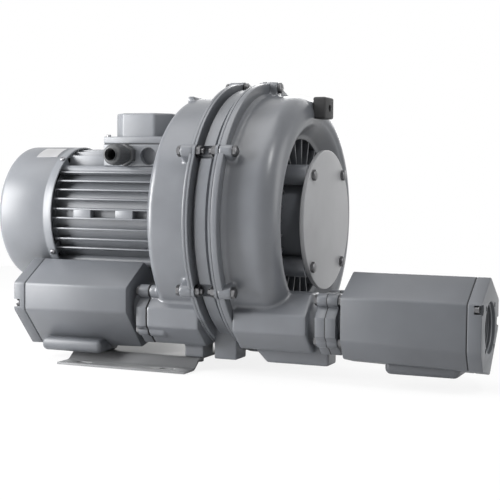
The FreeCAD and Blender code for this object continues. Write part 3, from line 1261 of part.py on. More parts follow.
def silencer_body():
    body = rounded_can(0.0, SILENCER_BODY)
    inset = SILENCER_WALL
    body = body.cut(silencer_prism(SILENCER_END_WALL, SILENCER_BODY, inset))
    collar = rod_x(0.0, SILENCER_COLLAR_DEPTH, SILENCER_COLLAR, 0.0, 0.0)
    pad = block(SILENCER_PAD_START, SILENCER_PAD_END, SILENCER_PAD_NEAR, SILENCER_PAD_FAR,
                BASE_HEIGHT - PORT_Z, SILENCER_PAD_TOP)
    upright = [edge for edge in pad.Edges if edge.Vertexes[0].Z != edge.Vertexes[1].Z]
    pad = pad.makeFillet(SILENCER_PAD_CORNER, upright)
    pad = pad.cut(silencer_prism(SILENCER_END_WALL, SILENCER_BODY, inset))
    body = body.multiFuse([collar, pad])
    bosses = []
    holes = [rod_x(0.0, SILENCER_COLLAR_DEPTH, NIPPLE_RADIUS + THREAD_FIT, 0.0, 0.0)]
    solid_can = silencer_prism(0.0, SILENCER_BODY, 1.0)
    for y, z in CAP_SCREW_CENTRES:
        start = SILENCER_BODY - CAP_SCREW_LENGTH
        bosses.append(rod_x(start, SILENCER_BODY, CAP_SCREW_BOSS, y, z).common(solid_can))
        holes.append(rod_x(start, SILENCER_BODY, M6 / 2 + THREAD_FIT, y, z))
    body = body.multiFuse(bosses)
    screw_x = -(PAD_BOLT_X - silencer_rear_plane())
    screw_y = -(PAD_BOLT_Y - PORT_Y)
    for y in (-screw_y, screw_y):
        holes.append(rod_z(BASE_HEIGHT - PORT_Z, BASE_HEIGHT - PORT_Z + FOOT_THREAD / 2 + 1.0,
                           M8 / 2 + THREAD_FIT, screw_x, y))
    return body.cut(holes)


def silencer_cap():
    start = SILENCER_BODY
    end = SILENCER_BODY + SILENCER_CAP
    cap = rounded_can(start + CAP_GASKET, end)
    cuts = [rod_x(start, end, NIPPLE_RADIUS + THREAD_FIT, 0.0, 0.0)]
    cuts.append(rod_x(end - CAP_RECESS_DEPTH, end, CAP_RECESS, 0.0, 0.0))
    for angle in ring_angles(4, CAP_HOLE_START):
        turn = math.radians(angle)
        y = CAP_HOLE_CIRCLE * math.cos(turn)
        z = CAP_HOLE_CIRCLE * math.sin(turn)
        cuts.append(rod_x(end - CAP_HOLE_DEPTH, end, CAP_HOLE_RADIUS, y, z))
    for y, z in CAP_SCREW_CENTRES:
        cuts.append(rod_x(start, end, M6 / 2 + FREE_CLEARANCE, y, z))
        cuts.append(rod_x(end - CAP_SCREW_POCKET, end, CAP_POCKET_RADIUS, y, z))
    return cap.cut(cuts)


def cap_gasket():
    start = SILENCER_BODY
    gasket = silencer_prism(start, start + CAP_GASKET, 1.0)
    gasket = gasket.cut(silencer_prism(start, start + CAP_GASKET, SILENCER_WALL * 2))
    for y, z in CAP_SCREW_CENTRES:
        gasket = gasket.cut(rod_x(start, start + CAP_GASKET, M6 / 2 + FREE_CLEARANCE, y, z))
    return gasket


def cap_screws():
    screws = []
    seat = SILENCER_BODY + SILENCER_CAP - CAP_SCREW_POCKET
    for y, z in CAP_SCREW_CENTRES:
        head = rod_x(seat, seat + M6, M6_CAP_HEAD / 2, y, z)
        tip = SILENCER_BODY - CAP_SCREW_LENGTH + SHEET
        screws.append(head.fuse(rod_x(tip, seat, M6 / 2, y, z)))
    return screws


def silencer_tube():
    start = NIPPLE_GRIP + SHEET
    end = SILENCER_BODY
    return tube_x(start, end, NIPPLE_RADIUS, NIPPLE_RADIUS - TUBE_WALL, 0.0, 0.0)


def silencer_foam():
    start = SILENCER_COLLAR_DEPTH
    end = SILENCER_BODY - CAP_SCREW_LENGTH
    foam = silencer_prism(start, end, FOAM_GAP)
    return foam.cut(rod_x(start, end, NIPPLE_RADIUS, 0.0, 0.0))


def silencer_rear_plane():
    return REAR_NECK_END - PORT_GASKET - ADAPTOR_FLANGE - SILENCER_GAP


def silencer_front_plane():
    return FRONT_NECK_END + PORT_GASKET + ADAPTOR_FLANGE + SILENCER_GAP


def to_front(shape):
    placed = shape.copy()
    placed.translate(at(silencer_front_plane(), PORT_Y, PORT_Z))
    return placed


def to_rear(shape):
    placed = shape.copy()
    placed.rotate(at(0, 0, 0), at(0, 0, 1), 180.0)
    placed.translate(at(silencer_rear_plane(), PORT_Y, PORT_Z))
    return placed


def silencers():
    body = silencer_body()
    cap = silencer_cap()
    save("rear_silencer_body", to_rear(body))
    save("front_silencer_body", to_front(body))
    save("rear_silencer_cap", to_rear(cap))
    save("front_silencer_cap", to_front(cap))
    save_group("silencer_cap_gaskets", [to_rear(cap_gasket()), to_front(cap_gasket())])
    save_group("silencer_foam", [to_rear(silencer_foam()), to_front(silencer_foam())])
    save_group("silencer_tubes", [to_rear(silencer_tube()), to_front(silencer_tube())])
    screws = cap_screws()
    save_group("silencer_cap_screws", [to_rear(s) for s in screws] + [to_front(s) for s in screws])


base_plate()
base_plate_bolts()
rear_housing()
middle_housing()
front_cover()
stage_bolts_and_nuts()
hub_cover()
front_pad()
shaft_seals()
rotor()
bearings()
motor_frame()
rear_end_shield()
tie_rods()
stator()
fan_cowl()
cooling_fan()
terminal_box()
terminal_board()
cable_gland()
port_adaptors()
port_bolts()
silencers()
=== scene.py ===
import math
import bpy
from mathutils import Matrix, Vector


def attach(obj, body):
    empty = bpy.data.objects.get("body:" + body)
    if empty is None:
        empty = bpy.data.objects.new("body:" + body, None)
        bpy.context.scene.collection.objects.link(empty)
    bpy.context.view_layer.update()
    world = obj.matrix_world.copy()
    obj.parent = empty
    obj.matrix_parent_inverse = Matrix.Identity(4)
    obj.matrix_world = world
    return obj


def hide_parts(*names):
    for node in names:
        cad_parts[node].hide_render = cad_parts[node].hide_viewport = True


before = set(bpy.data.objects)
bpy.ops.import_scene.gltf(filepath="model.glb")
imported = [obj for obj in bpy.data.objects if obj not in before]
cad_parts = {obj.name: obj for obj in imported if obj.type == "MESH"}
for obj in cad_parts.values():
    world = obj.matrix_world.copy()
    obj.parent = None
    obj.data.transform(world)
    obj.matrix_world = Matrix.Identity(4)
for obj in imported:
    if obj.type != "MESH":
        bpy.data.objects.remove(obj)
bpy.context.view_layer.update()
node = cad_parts
bpy.ops.object.select_all(action="DESELECT")

# Camera: a short tele lens a little above the shaft, turned towards the front
# cover, as the photograph was taken.
lens = bpy.data.cameras.new("blower_camera")
lens.lens = 86.4
lens.sensor_width = 36.0
camera = bpy.data.objects.new("blower_camera", lens)
bpy.context.scene.collection.objects.link(camera)
camera.matrix_world = (
    Matrix.Translation((0.7879, -1.5905, 0.272))
    @ Matrix.Rotation(math.radians(22.4), 4, "Z")
    @ Matrix.Rotation(math.radians(86.3), 4, "X")
    @ Matrix.Rotation(math.radians(0.6), 4, "Z")
)
bpy.context.scene.camera = camera

# Studio: a pale floor, a white surround and five soft lamps. The strongest
# stands low at the left, so the motor end is bright and the front end darker; a
# small one above puts the highlight on the crest of the front cover.
bpy.ops.mesh.primitive_plane_add(size=2.6, location=(0.15, 0.0, -0.0005))
floor = bpy.context.object
floor.name = "studio_floor"
bpy.ops.object.transform_apply(location=True, rotation=True, scale=True)
floor_paint = bpy.data.materials.new("studio_floor_paint")
floor_paint.use_nodes = True
floor_tree = floor_paint.node_tree
floor_shader = floor_tree.nodes["Principled BSDF"]
floor_shader.inputs["Base Color"].default_value = (0.90, 0.90, 0.90, 1.0)
floor_shader.inputs["Roughness"].default_value = 0.9
white = floor_tree.nodes.new("ShaderNodeEmission")
seen_by_camera = floor_tree.nodes.new("ShaderNodeLightPath")
share = floor_tree.nodes.new("ShaderNodeMath")
share.operation = "MULTIPLY"
share.inputs[1].default_value = 0.85
floor_tree.links.new(seen_by_camera.outputs["Is Camera Ray"], share.inputs[0])
mixed = floor_tree.nodes.new("ShaderNodeMixShader")
floor_tree.links.new(share.outputs[0], mixed.inputs[0])
floor_tree.links.new(floor_shader.outputs[0], mixed.inputs[1])
floor_tree.links.new(white.outputs[0], mixed.inputs[2])
floor_tree.links.new(mixed.outputs[0], floor_tree.nodes["Material Output"].inputs["Surface"])
floor.data.materials.append(floor_paint)

world = bpy.data.worlds.new("studio_surround")
world.use_nodes = True
bpy.context.scene.world = world
sky = world.node_tree
background = sky.nodes["Background"]
background.inputs["Color"].default_value = (1.0, 1.0, 1.0, 1.0)
rays = sky.nodes.new("ShaderNodeLightPath")
seen = sky.nodes.new("ShaderNodeMath")
seen.operation = "MAXIMUM"
sky.links.new(rays.outputs["Is Camera Ray"], seen.inputs[0])
sky.links.new(rays.outputs["Is Glossy Ray"], seen.inputs[1])
seen_or_through = sky.nodes.new("ShaderNodeMath")
seen_or_through.operation = "MAXIMUM"
sky.links.new(seen.outputs[0], seen_or_through.inputs[0])
sky.links.new(rays.outputs["Is Transmission Ray"], seen_or_through.inputs[1])
level = sky.nodes.new("ShaderNodeMapRange")
level.inputs["To Min"].default_value = 0.17
level.inputs["To Max"].default_value = 1.0
sky.links.new(seen_or_through.outputs[0], level.inputs["Value"])
sky.links.new(level.outputs[0], background.inputs["Strength"])


def soft_lamp(name, place, aim, size, power):
    light = bpy.data.lights.new(name, "AREA")
    light.energy = power
    light.shape = "RECTANGLE"
    light.size = size[0]
    light.size_y = size[1]
    lamp = bpy.data.objects.new(name, light)
    bpy.context.scene.collection.objects.link(lamp)
    lamp.location = place
    lamp.rotation_euler = (Vector(aim) - Vector(place)).to_track_quat("-Z", "Y").to_euler()


soft_lamp("top_softbox", (-0.3, -0.4, 2.1), (0.15, 0.0, 0.2), (1.6, 1.6), 22.0)
soft_lamp("right_softbox", (2.2, 0.5, 0.9), (0.2, 0.0, 0.2), (1.0, 1.4), 14.0)
soft_lamp("left_softbox", (-0.95, -0.80, 0.5), (-0.08, 0.0, 0.2), (0.5, 0.9), 32.0)
soft_lamp("crest_softbox", (1.25, -0.85, 1.8), (0.22, -0.14, 0.3), (0.2, 0.45), 12.0)
soft_lamp("back_softbox", (-0.2, 2.4, 1.0), (0.1, 0.0, 0.2), (1.6, 1.2), 22.0)

bpy.context.scene.view_settings.view_transform = "Standard"

# Motor frame: an aluminium barrel with thin cooling fins, corner bosses for the
# tie rods, fin pads and the seat of the terminal box cast on. Its satin grey
# enamel has a fine orange peel and a little unevenness of tone.
shaft_height = 0.207
frame_back = -0.140
frame_front = 0.050
fin_front = 0.045
fin_foot = 0.079
rod_circle = 0.086
rod_angles = (49.5, 130.5, 229.5, 310.5)
along_shaft = (0.0, math.pi / 2, 0.0)


def grey_paint(name, tone, roughness, grain=900.0, depth=0.00004):
    paint = bpy.data.materials.new(name)
    paint.use_nodes = True
    tree = paint.node_tree
    shader = tree.nodes["Principled BSDF"]
    shader.inputs["Specular IOR Level"].default_value = 0.5
    place = tree.nodes.new("ShaderNodeTexCoord")
    cloud = tree.nodes.new("ShaderNodeTexNoise")
    cloud.inputs["Scale"].default_value = 14.0
    cloud.inputs["Detail"].default_value = 6.0
    tree.links.new(place.outputs["Object"], cloud.inputs["Vector"])
    shade = tree.nodes.new("ShaderNodeValToRGB")
    shade.color_ramp.elements[0].position = 0.3
    shade.color_ramp.elements[0].color = (tone[0] * 0.88, tone[1] * 0.88, tone[2] * 0.88, 1.0)
    shade.color_ramp.elements[1].position = 0.7
    shade.color_ramp.elements[1].color = (tone[0] * 1.08, tone[1] * 1.08, tone[2] * 1.08, 1.0)
    tree.links.new(cloud.outputs["Fac"], shade.inputs["Fac"])
    tree.links.new(shade.outputs["Color"], shader.inputs["Base Color"])
    gloss = tree.nodes.new("ShaderNodeMapRange")
    gloss.inputs["To Min"].default_value = roughness - 0.06
    gloss.inputs["To Max"].default_value = roughness + 0.08
    tree.links.new(cloud.outputs["Fac"], gloss.inputs["Value"])
    tree.links.new(gloss.outputs["Result"], shader.inputs["Roughness"])
    peel = tree.nodes.new("ShaderNodeTexNoise")
    peel.inputs["Scale"].default_value = grain
    peel.inputs["Detail"].default_value = 2.0
    tree.links.new(place.outputs["Object"], peel.inputs["Vector"])
    bump = tree.nodes.new("ShaderNodeBump")
    bump.inputs["Strength"].default_value = 0.6
    bump.inputs["Distance"].default_value = depth
    tree.links.new(peel.outputs["Fac"], bump.inputs["Height"])
    tree.links.new(bump.outputs["Normal"], shader.inputs["Normal"])
    return paint


def pick(piece):
    bpy.ops.object.select_all(action="DESELECT")
    piece.select_set(True)
    bpy.context.view_layer.objects.active = piece


def modify(piece, kind, **settings):
    pick(piece)
    modifier = piece.modifiers.new(kind.lower(), kind)
    for key, value in settings.items():
        setattr(modifier, key, value)
    bpy.ops.object.modifier_apply(modifier=modifier.name)


def soften(piece, width, segments=2, angle=50.0):
    modify(piece, "BEVEL", width=width, segments=segments, limit_method="ANGLE",
           angle_limit=math.radians(angle))


def carve(piece, tool, operation="DIFFERENCE"):
    modify(piece, "BOOLEAN", object=tool, operation=operation, solver="EXACT")
    bpy.data.objects.remove(tool)


def joined(name, pieces):
    bpy.ops.object.select_all(action="DESELECT")
    for piece in pieces:
        piece.select_set(True)
    bpy.context.view_layer.objects.active = pieces[0]
    bpy.ops.object.join()
    pieces[0].name = name
    return pieces[0]


def spread(piece, moves):
    copies = []
    for move in moves:
        twin = piece.copy()
        twin.data = piece.data.copy()
        bpy.context.scene.collection.objects.link(twin)
        twin.data.transform(move)
        copies.append(twin)
    bpy.data.objects.remove(piece)
    return copies


def paint_over(piece, finish):
    piece.data.materials.clear()
    piece.data.materials.append(finish)


def dress(piece, finish, body, slot, *stood_for):
    paint_over(piece, finish)
    pick(piece)
    bpy.ops.object.shade_smooth_by_angle(angle=math.radians(34.0))
    for name in stood_for:
        paint_over(node[name], finish)
    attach(piece, body)
    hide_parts(*stood_for)


def drawn_line(name, points):
    bpy.ops.mesh.primitive_plane_add(size=0.01, location=(0.0, 0.0, 0.0))
    piece = bpy.context.object
    piece.name = name
    bpy.ops.object.mode_set(mode="EDIT")
    bpy.ops.mesh.select_mode(type="VERT")
    bpy.ops.mesh.select_all(action="SELECT")
    bpy.ops.mesh.merge(type="CENTER")
    bpy.ops.transform.translate(value=points[0])
    for before, after in zip(points, points[1:]):
        step = tuple(b - a for a, b in zip(before, after))
        bpy.ops.mesh.extrude_vertices_move(TRANSFORM_OT_translate={"value": step})
    return piece


def turned(name, outline, steps=120):
    piece = drawn_line(name, [(x, 0.0, shaft_height + radius) for x, radius in outline])
    bpy.ops.mesh.select_all(action="SELECT")
    bpy.ops.mesh.edge_face_add()
    bpy.ops.mesh.delete(type="ONLY_FACE")
    bpy.ops.mesh.select_all(action="SELECT")
    bpy.ops.mesh.spin(steps=steps, angle=2 * math.pi, center=(0.0, 0.0, shaft_height), axis=(1.0, 0.0, 0.0))
    bpy.ops.mesh.select_all(action="SELECT")
    bpy.ops.mesh.remove_doubles(threshold=0.00001)
    bpy.ops.mesh.normals_make_consistent(inside=False)
    bpy.ops.object.mode_set(mode="OBJECT")
    return piece


def turned_ring(name, x0, x1, inner, outer, steps):
    return turned(name, [(x0, inner), (x0, outer), (x1, outer), (x1, inner)], steps)


def bar(name, lows, highs, round_edges=0.0, segments=2):
    size = [high - low for low, high in zip(lows, highs)]
    middle = [(high + low) / 2 for low, high in zip(lows, highs)]
    bpy.ops.mesh.primitive_cube_add(size=1.0, location=middle)
    piece = bpy.context.object
    piece.name = name
    piece.scale = size
    bpy.ops.object.transform_apply(location=True, rotation=True, scale=True)
    if round_edges:
        modify(piece, "BEVEL", width=round_edges, segments=segments, limit_method="NONE")
    return piece


def round_bar(name, middle, radius, length, tilt, sides):
    bpy.ops.mesh.primitive_cylinder_add(vertices=sides, radius=radius, depth=length, location=middle,
                                        rotation=tilt)
    piece = bpy.context.object
    piece.name = name
    bpy.ops.object.transform_apply(location=True, rotation=True, scale=True)
    return piece


def rod(name, x0, x1, radius, y, z, sides=48):
    return round_bar(name, ((x0 + x1) / 2, y, z), radius, x1 - x0, along_shaft, sides)


def on_circle(radius, degrees, y=0.0, z=shaft_height):
    turn = math.radians(degrees)
    return y + radius * math.cos(turn), z + radius * math.sin(turn)


def fin(name, x0, x1, offset, reach):
    foot = math.sqrt(fin_foot ** 2 - offset ** 2) - 0.001
    tip = math.sqrt(reach ** 2 - offset ** 2)
    piece = bar(name, (x0, -0.0017, foot), (x1, 0.0017, tip))
    pick(piece)
    bpy.ops.object.mode_set(mode="EDIT")
    bpy.ops.mesh.select_mode(type="FACE")
    bpy.ops.mesh.select_all(action="DESELECT")
    bpy.ops.object.mode_set(mode="OBJECT")
    for face in piece.data.polygons:
        face.select = face.normal.z > 0.9
    bpy.ops.object.mode_set(mode="EDIT")
    bpy.ops.transform.resize(value=(1.0, 0.65, 1.0))
    bpy.ops.object.mode_set(mode="OBJECT")
    soften(piece, 0.0008)
    return piece


motor_paint = grey_paint("motor_grey_paint", (0.150, 0.158, 0.172), 0.38)
frame_pieces = [turned_ring("motor_barrel", frame_back, frame_front, 0.075, 0.080, 96)]
for height in (0.0625, 0.0499, 0.0374, 0.0242, 0.0099, -0.0034, -0.0185, -0.0331, -0.0467):
    side_fin = fin("side_fin", frame_back, fin_front, height, 0.0935)
    lifted = Matrix.Translation((0.0, 0.0, shaft_height + height))
    frame_pieces += spread(side_fin, [lifted @ Matrix.Rotation(math.radians(90.0), 4, "X"),
                                      lifted @ Matrix.Rotation(math.radians(-90.0), 4, "X")])
for offset in (-0.042, -0.028, -0.014, 0.0, 0.014, 0.028, 0.042):
    aside = Matrix.Translation((0.0, offset, shaft_height))
    bottom_fin = fin("bottom_fin", frame_back, fin_front, offset, 0.097)
    frame_pieces += spread(bottom_fin, [aside @ Matrix.Rotation(math.pi, 4, "X")])
    top_fin = fin("top_fin", frame_back, -0.074, offset, 0.097)
    frame_pieces += spread(top_fin, [aside])
for angle in rod_angles:
    y, z = on_circle(rod_circle, angle)
    frame_pieces.append(rod("corner_boss", frame_back, frame_front, 0.007, y, z, 32))
for start in (-0.105, -0.037):
    for low, high in ((-0.0925, -0.078), (0.078, 0.0925)):
        frame_pieces.append(bar("fin_pad", (start, low, 0.2042), (start + 0.028, high, 0.2163), 0.0008))
seat = bar("terminal_seat", (-0.074, -0.050, 0.262), (0.037, 0.050, 0.289), 0.001)
carve(seat, rod("seat_bore", -0.08, 0.04, 0.0755, 0.0, shaft_height, 96))
frame_pieces.append(seat)
dress(joined("motor_frame_casting", frame_pieces), motor_paint, "casing", "motor_paint", "motor_frame")

# Rear end shield: a cast aluminium disc inside the cowl that carries the rear
# bearing, with lugs for the cowl screws, held to the barrel by the four tie rods.
cowl_angles = (54.0, 126.0, 212.0, 328.0)


def about_shaft(degrees):
    to_shaft = Matrix.Translation((0.0, 0.0, shaft_height))
    return to_shaft @ Matrix.Rotation(math.radians(degrees), 4, "X") @ to_shaft.inverted()


def round_shaft(piece, angles):
    return spread(piece, [about_shaft(angle - 90.0) for angle in angles])


shield_pieces = [turned("end_shield_disc", [
    (-0.152, 0.0155), (-0.152, 0.046), (-0.146, 0.046), (-0.146, 0.084), (-0.140, 0.084), (-0.140, 0.07498),
    (-0.134, 0.07498), (-0.134, 0.069), (-0.140, 0.069), (-0.140, 0.046), (-0.131, 0.046),
    (-0.131, 0.03602), (-0.150, 0.03602), (-0.150, 0.0155)], 72)]
cowl_lug = bar("cowl_lug", (-0.146, -0.008, shaft_height + 0.076), (frame_back, 0.008, shaft_height + 0.0976),
               0.0006)
shield_pieces += round_shaft(cowl_lug, cowl_angles)
for angle in rod_angles:
    y, z = on_circle(rod_circle, angle)
    shield_pieces.append(rod("rod_lug", -0.146, frame_back, 0.007, y, z, 32))
dress(joined("end_shield_casting", shield_pieces), motor_paint, "casing", "motor_paint", "rear_end_shield")

# Fan cowl: a drum pressed from 2 mm sheet steel, closed at the back by a grille
# of ring slots, with a shallow bead near its open edge; it slips over the rear
# end shield.
grille_rings = ((0.030, 0.044), (0.050, 0.064), (0.070, 0.084))


def round_corner(centre, radius, start, end, steps=8):
    corner = []
    for step in range(steps + 1):
        turn = math.radians(start + (end - start) * step / steps)
        corner.append((centre[0] + radius * math.cos(turn), centre[1] + radius * math.sin(turn)))
    return corner


cowl_outline = [(-0.2297, 0.0)]
cowl_outline += round_corner((-0.2197, 0.090), 0.010, 180.0, 90.0)
cowl_outline += [(-0.1545, 0.100), (-0.1530, 0.0992), (-0.1500, 0.0992), (-0.1485, 0.100), (-0.1388, 0.100)]
cowl_outline += [(-0.138, 0.0992), (-0.138, 0.098), (-0.2197, 0.098)]
cowl_outline += round_corner((-0.2197, 0.090), 0.008, 90.0, 180.0)
cowl_outline += [(-0.2277, 0.0)]
cowl = turned("fan_cowl_drum", cowl_outline)
slots = []
for inner, outer in grille_rings:
    slot = turned_ring("grille_slot", -0.24, -0.22, inner, outer, 60)
    middle = shaft_height + (inner + outer) / 2
    web = bar("grille_web", (-0.25, -0.0035, middle - 0.015), (-0.21, 0.0035, middle + 0.015))
    webs = spread(web, [about_shaft(angle) for angle in range(0, 360, 60)])
    carve(slot, joined("grille_webs", webs))
    slots.append(slot)
carve(cowl, joined("grille_slots", slots))
dress(cowl, motor_paint, "casing", "cowl_paint", "fan_cowl")

# Cowl screws: four pan-head steel screws, zinc plated, through the sheet into the
# lugs of the end shield. Each head has a straight slot for the driver.
upright = (0.0, 0.0, 0.0)


def bare_metal(name, dark, light, roughness, scale):
    metal = bpy.data.materials.new(name)
    metal.use_nodes = True
    tree = metal.node_tree
    shader = tree.nodes["Principled BSDF"]
    shader.inputs["Metallic"].default_value = 0.9
    place = tree.nodes.new("ShaderNodeTexCoord")
    cloud = tree.nodes.new("ShaderNodeTexNoise")
    cloud.inputs["Scale"].default_value = scale
    cloud.inputs["Detail"].default_value = 5.0
    tree.links.new(place.outputs["Object"], cloud.inputs["Vector"])
    shade = tree.nodes.new("ShaderNodeValToRGB")
    shade.color_ramp.elements[0].color = (*dark, 1.0)
    shade.color_ramp.elements[1].color = (*light, 1.0)
    tree.links.new(cloud.outputs["Fac"], shade.inputs["Fac"])
    tree.links.new(shade.outputs["Color"], shader.inputs["Base Color"])
    gloss = tree.nodes.new("ShaderNodeMapRange")
    gloss.inputs["To Min"].default_value = roughness - 0.08
    gloss.inputs["To Max"].default_value = roughness + 0.1
    tree.links.new(cloud.outputs["Fac"], gloss.inputs["Value"])
    tree.links.new(gloss.outputs["Result"], shader.inputs["Roughness"])
    return metal


def bevel_edges(piece, wanted, **settings):
    pick(piece)
    bpy.ops.object.mode_set(mode="EDIT")
    bpy.ops.mesh.select_mode(type="EDGE")
    bpy.ops.mesh.select_all(action="DESELECT")
    bpy.ops.object.mode_set(mode="OBJECT")
    for edge in piece.data.edges:
        first, last = [piece.data.vertices[i].co for i in edge.vertices]
        edge.select = wanted(first, last)
    bpy.ops.object.mode_set(mode="EDIT")
    bpy.ops.mesh.bevel(affect="EDGES", **settings)
    bpy.ops.object.mode_set(mode="OBJECT")


def pan_screw(name, radius, height, x, z, shank, tip):
    head = round_bar(name, (x, 0.0, z + height / 2), radius, height, upright, 28)
    bevel_edges(head, lambda first, last: min(first.z, last.z) > z + height * 0.9,
                offset=height * 0.55, segments=4)
    carve(head, bar("driver_slot", (x - radius * 0.75, -radius * 0.14, z + height * 0.6),
                    (x + radius * 0.75, radius * 0.14, z + height * 1.4)))
    pin = round_bar("screw_shank", (x, 0.0, (z + tip) / 2), shank, z - tip, upright, 16)
    return joined(name, [head, pin])


zinc = bare_metal("dull_zinc_steel", (0.16, 0.16, 0.17), (0.34, 0.34, 0.35), 0.4, 160.0)
cowl_screw = pan_screw("cowl_screw", 0.004, 0.0035, -0.143, shaft_height + 0.100, 0.0025,
                       shaft_height + 0.091)
cowl_screws = joined("cowl_screw_set", round_shaft(cowl_screw, cowl_angles))
dress(cowl_screws, zinc, "casing", "zinc_steel", "fan_cowl_screws")

# Terminal box: a cast base on the barrel with a gland entry and a spare entry,
# a black gasket and a lid with cut-off corners held by four small screws.
gland_x = -0.0356
gland_z = 0.295
sideways = (math.pi / 2, 0.0, 0.0)

box_base = bar("terminal_box_tray", (-0.074, -0.060, 0.279), (0.037, 0.060, 0.3105), 0.0015, 3)
carve(box_base, bar("saddle", (-0.080, -0.050, 0.270), (0.040, 0.050, 0.289)))
carve(box_base, bar("tray_hollow", (-0.070, -0.050, 0.293), (0.033, 0.050, 0.320)))
for x, z in ((gland_x, gland_z), (-0.0015, 0.2935)):
    carve(box_base, round_bar("cable_entry", (x, -0.0575, z), 0.0125, 0.014, sideways, 48))
dress(box_base, motor_paint, "casing", "motor_paint", "terminal_box_base")

lid = bar("terminal_box_lid_cast", (-0.074, -0.060, 0.3115), (0.037, 0.060, 0.3215), 0.0015, 3)
crown = bar("lid_crown", (-0.065, -0.057, 0.314), (0.026, 0.057, 0.355))
bevel_edges(crown, lambda first, last: abs(first.z - last.z) > 0.001,
            offset=0.020 * math.sqrt(2.0), segments=1, offset_type="WIDTH")
soften(crown, 0.003, 4, 30.0)
lid = joined("terminal_box_lid_cast", [lid, crown])
dress(lid, motor_paint, "casing", "motor_paint", "terminal_box_lid")

rubber = grey_paint("black_rubber", (0.018, 0.018, 0.019), 0.7, 1800.0, 0.00003)
box_gasket = bar("terminal_gasket_sheet", (-0.073, -0.059, 0.3105), (0.036, 0.059, 0.3115))
carve(box_gasket, bar("gasket_hollow", (-0.070, -0.050, 0.300), (0.033, 0.050, 0.320)))
dress(box_gasket, rubber, "casing", "black_rubber", "terminal_box_gasket")

lid_corners = [Matrix.Translation((x, y, 0.0)) for x in (-0.0685, 0.0315) for y in (-0.0545, 0.0545)]
lid_screw = pan_screw("lid_screw", 0.0035, 0.003, 0.0, 0.3215, 0.002, 0.296)
lid_screws = joined("lid_screw_set", spread(lid_screw, lid_corners))
dress(lid_screws, zinc, "casing", "zinc_steel", "terminal_lid_screws")

# Cable gland: a moulded body with a hexagon against the box and a domed nut
# with ribs, which squeezes a rubber seal round the cable.
gland_plastic = grey_paint("gland_grey_plastic", (0.055, 0.057, 0.06), 0.5, 2500.0, 0.00001)


def turned_at_origin(name, outline, steps):
    piece = turned(name, outline, steps)
    piece.data.transform(Matrix.Translation((0.0, 0.0, -shaft_height)))
    return piece


def gland_turning(name, outline, steps=64):
    piece = turned_at_origin(name, outline, steps)
    to_camera = Matrix.Rotation(math.radians(-90.0), 4, "Z")
    piece.data.transform(Matrix.Translation((gland_x, 0.0, gland_z)) @ to_camera)
    return piece


gland_hexagon = round_bar("gland_hexagon", (gland_x, -0.065, gland_z), 0.028 / math.sqrt(3.0), 0.010,
                          sideways, 6)
soften(gland_hexagon, 0.0009, angle=30.0)
carve(gland_hexagon, gland_turning("gland_bore", [
    (0.04, 0.0), (0.04, 0.0085), (0.09, 0.0085), (0.09, 0.0)]))
sleeve = gland_turning("gland_sleeve", [
    (0.050, 0.0085), (0.050, 0.01245), (0.061, 0.01245), (0.061, 0.0115), (0.090, 0.0115), (0.090, 0.0085)])
gland_body = joined("gland_body_moulding", [gland_hexagon, sleeve])
dress(gland_body, gland_plastic, "casing", "gland_plastic", "cable_gland_body")
nut_outline = [(0.080, 0.01155), (0.080, 0.0140), (0.0806, 0.0145), (0.101, 0.0145)]
nut_outline += round_corner((0.102, 0.0090), 0.0055, 75.0, 8.0, 6)
nut_outline += [(0.1098, 0.0090), (0.1100, 0.0088), (0.1096, 0.0085), (0.104, 0.0085), (0.104, 0.01155)]
gland_nut = gland_turning("gland_nut_moulding", nut_outline)
nut_rib = bar("nut_rib", (-0.0008, 0.0815, 0.0138), (0.0008, 0.0995, 0.0149), 0.0003)
to_nut = Matrix.Translation((gland_x, -0.181, gland_z))
ribs = spread(nut_rib, [to_nut @ Matrix.Rotation(math.radians(step * 20.0), 4, "Y") for step in range(18)])
gland_nut = joined("gland_nut_moulding", [gland_nut] + ribs)
dress(gland_nut, gland_plastic, "casing", "gland_plastic", "cable_gland_nut")
seal = gland_turning("gland_seal_ring", [
    (0.090, 0.0075), (0.090, 0.0112), (0.104, 0.0112), (0.104, 0.0082), (0.1035, 0.0075)], 48)
dress(seal, rubber, "casing", "black_rubber", "cable_gland_seal")

# Rear casing: sand-cast aluminium drum round the rear side channel, with a
# flange and six bolt lugs, the neck of the rear port and two feet; the cast
# corners run into one another softly.
casing_paint = grey_paint("casing_grey_paint", (0.125, 0.132, 0.145), 0.30)
joint_circle = 0.184
joint_angles = range(30, 390, 60)
port_y = -0.095
port_z = 0.081
port_circle = 0.0375
quarter_angles = (45, 135, 225, 315)
feet = ((-0.095, -0.060), (0.060, 0.095))


def lug_set(x0, x1):
    eye = rod("bolt_lug", x0, x1, 0.009, 0.0, shaft_height + joint_circle, 32)
    web = bar("lug_web", (x0, -0.009, shaft_height + 0.167), (x1, 0.009, shaft_height + joint_circle))
    return round_shaft(joined("bolt_lug", [eye, web]), joint_angles)


def port_tube(name, x0, x1):
    corners = [
        (-0.014, 0.033), (0.014, 0.033), (0.042, 0.005), (0.042, -0.020),
        (0.014, -0.046), (-0.014, -0.046), (-0.042, -0.020), (-0.042, 0.005)]
    bpy.ops.mesh.primitive_circle_add(vertices=8, radius=0.04, fill_type="NGON", rotation=along_shaft)
    tube = bpy.context.object
    tube.name = name
    bpy.ops.object.transform_apply(location=True, rotation=True, scale=True)
    for vertex, (y, z) in zip(tube.data.vertices, corners):
        vertex.co = (x0, port_y + y, port_z + z)
    pick(tube)
    bpy.ops.object.mode_set(mode="EDIT")
    bpy.ops.mesh.select_all(action="SELECT")
    bpy.ops.mesh.extrude_region_move(TRANSFORM_OT_translate={"value": (x1 - x0, 0.0, 0.0)})
    bpy.ops.mesh.select_all(action="SELECT")
    bpy.ops.mesh.normals_make_consistent(inside=False)
    bpy.ops.object.mode_set(mode="OBJECT")
    return tube


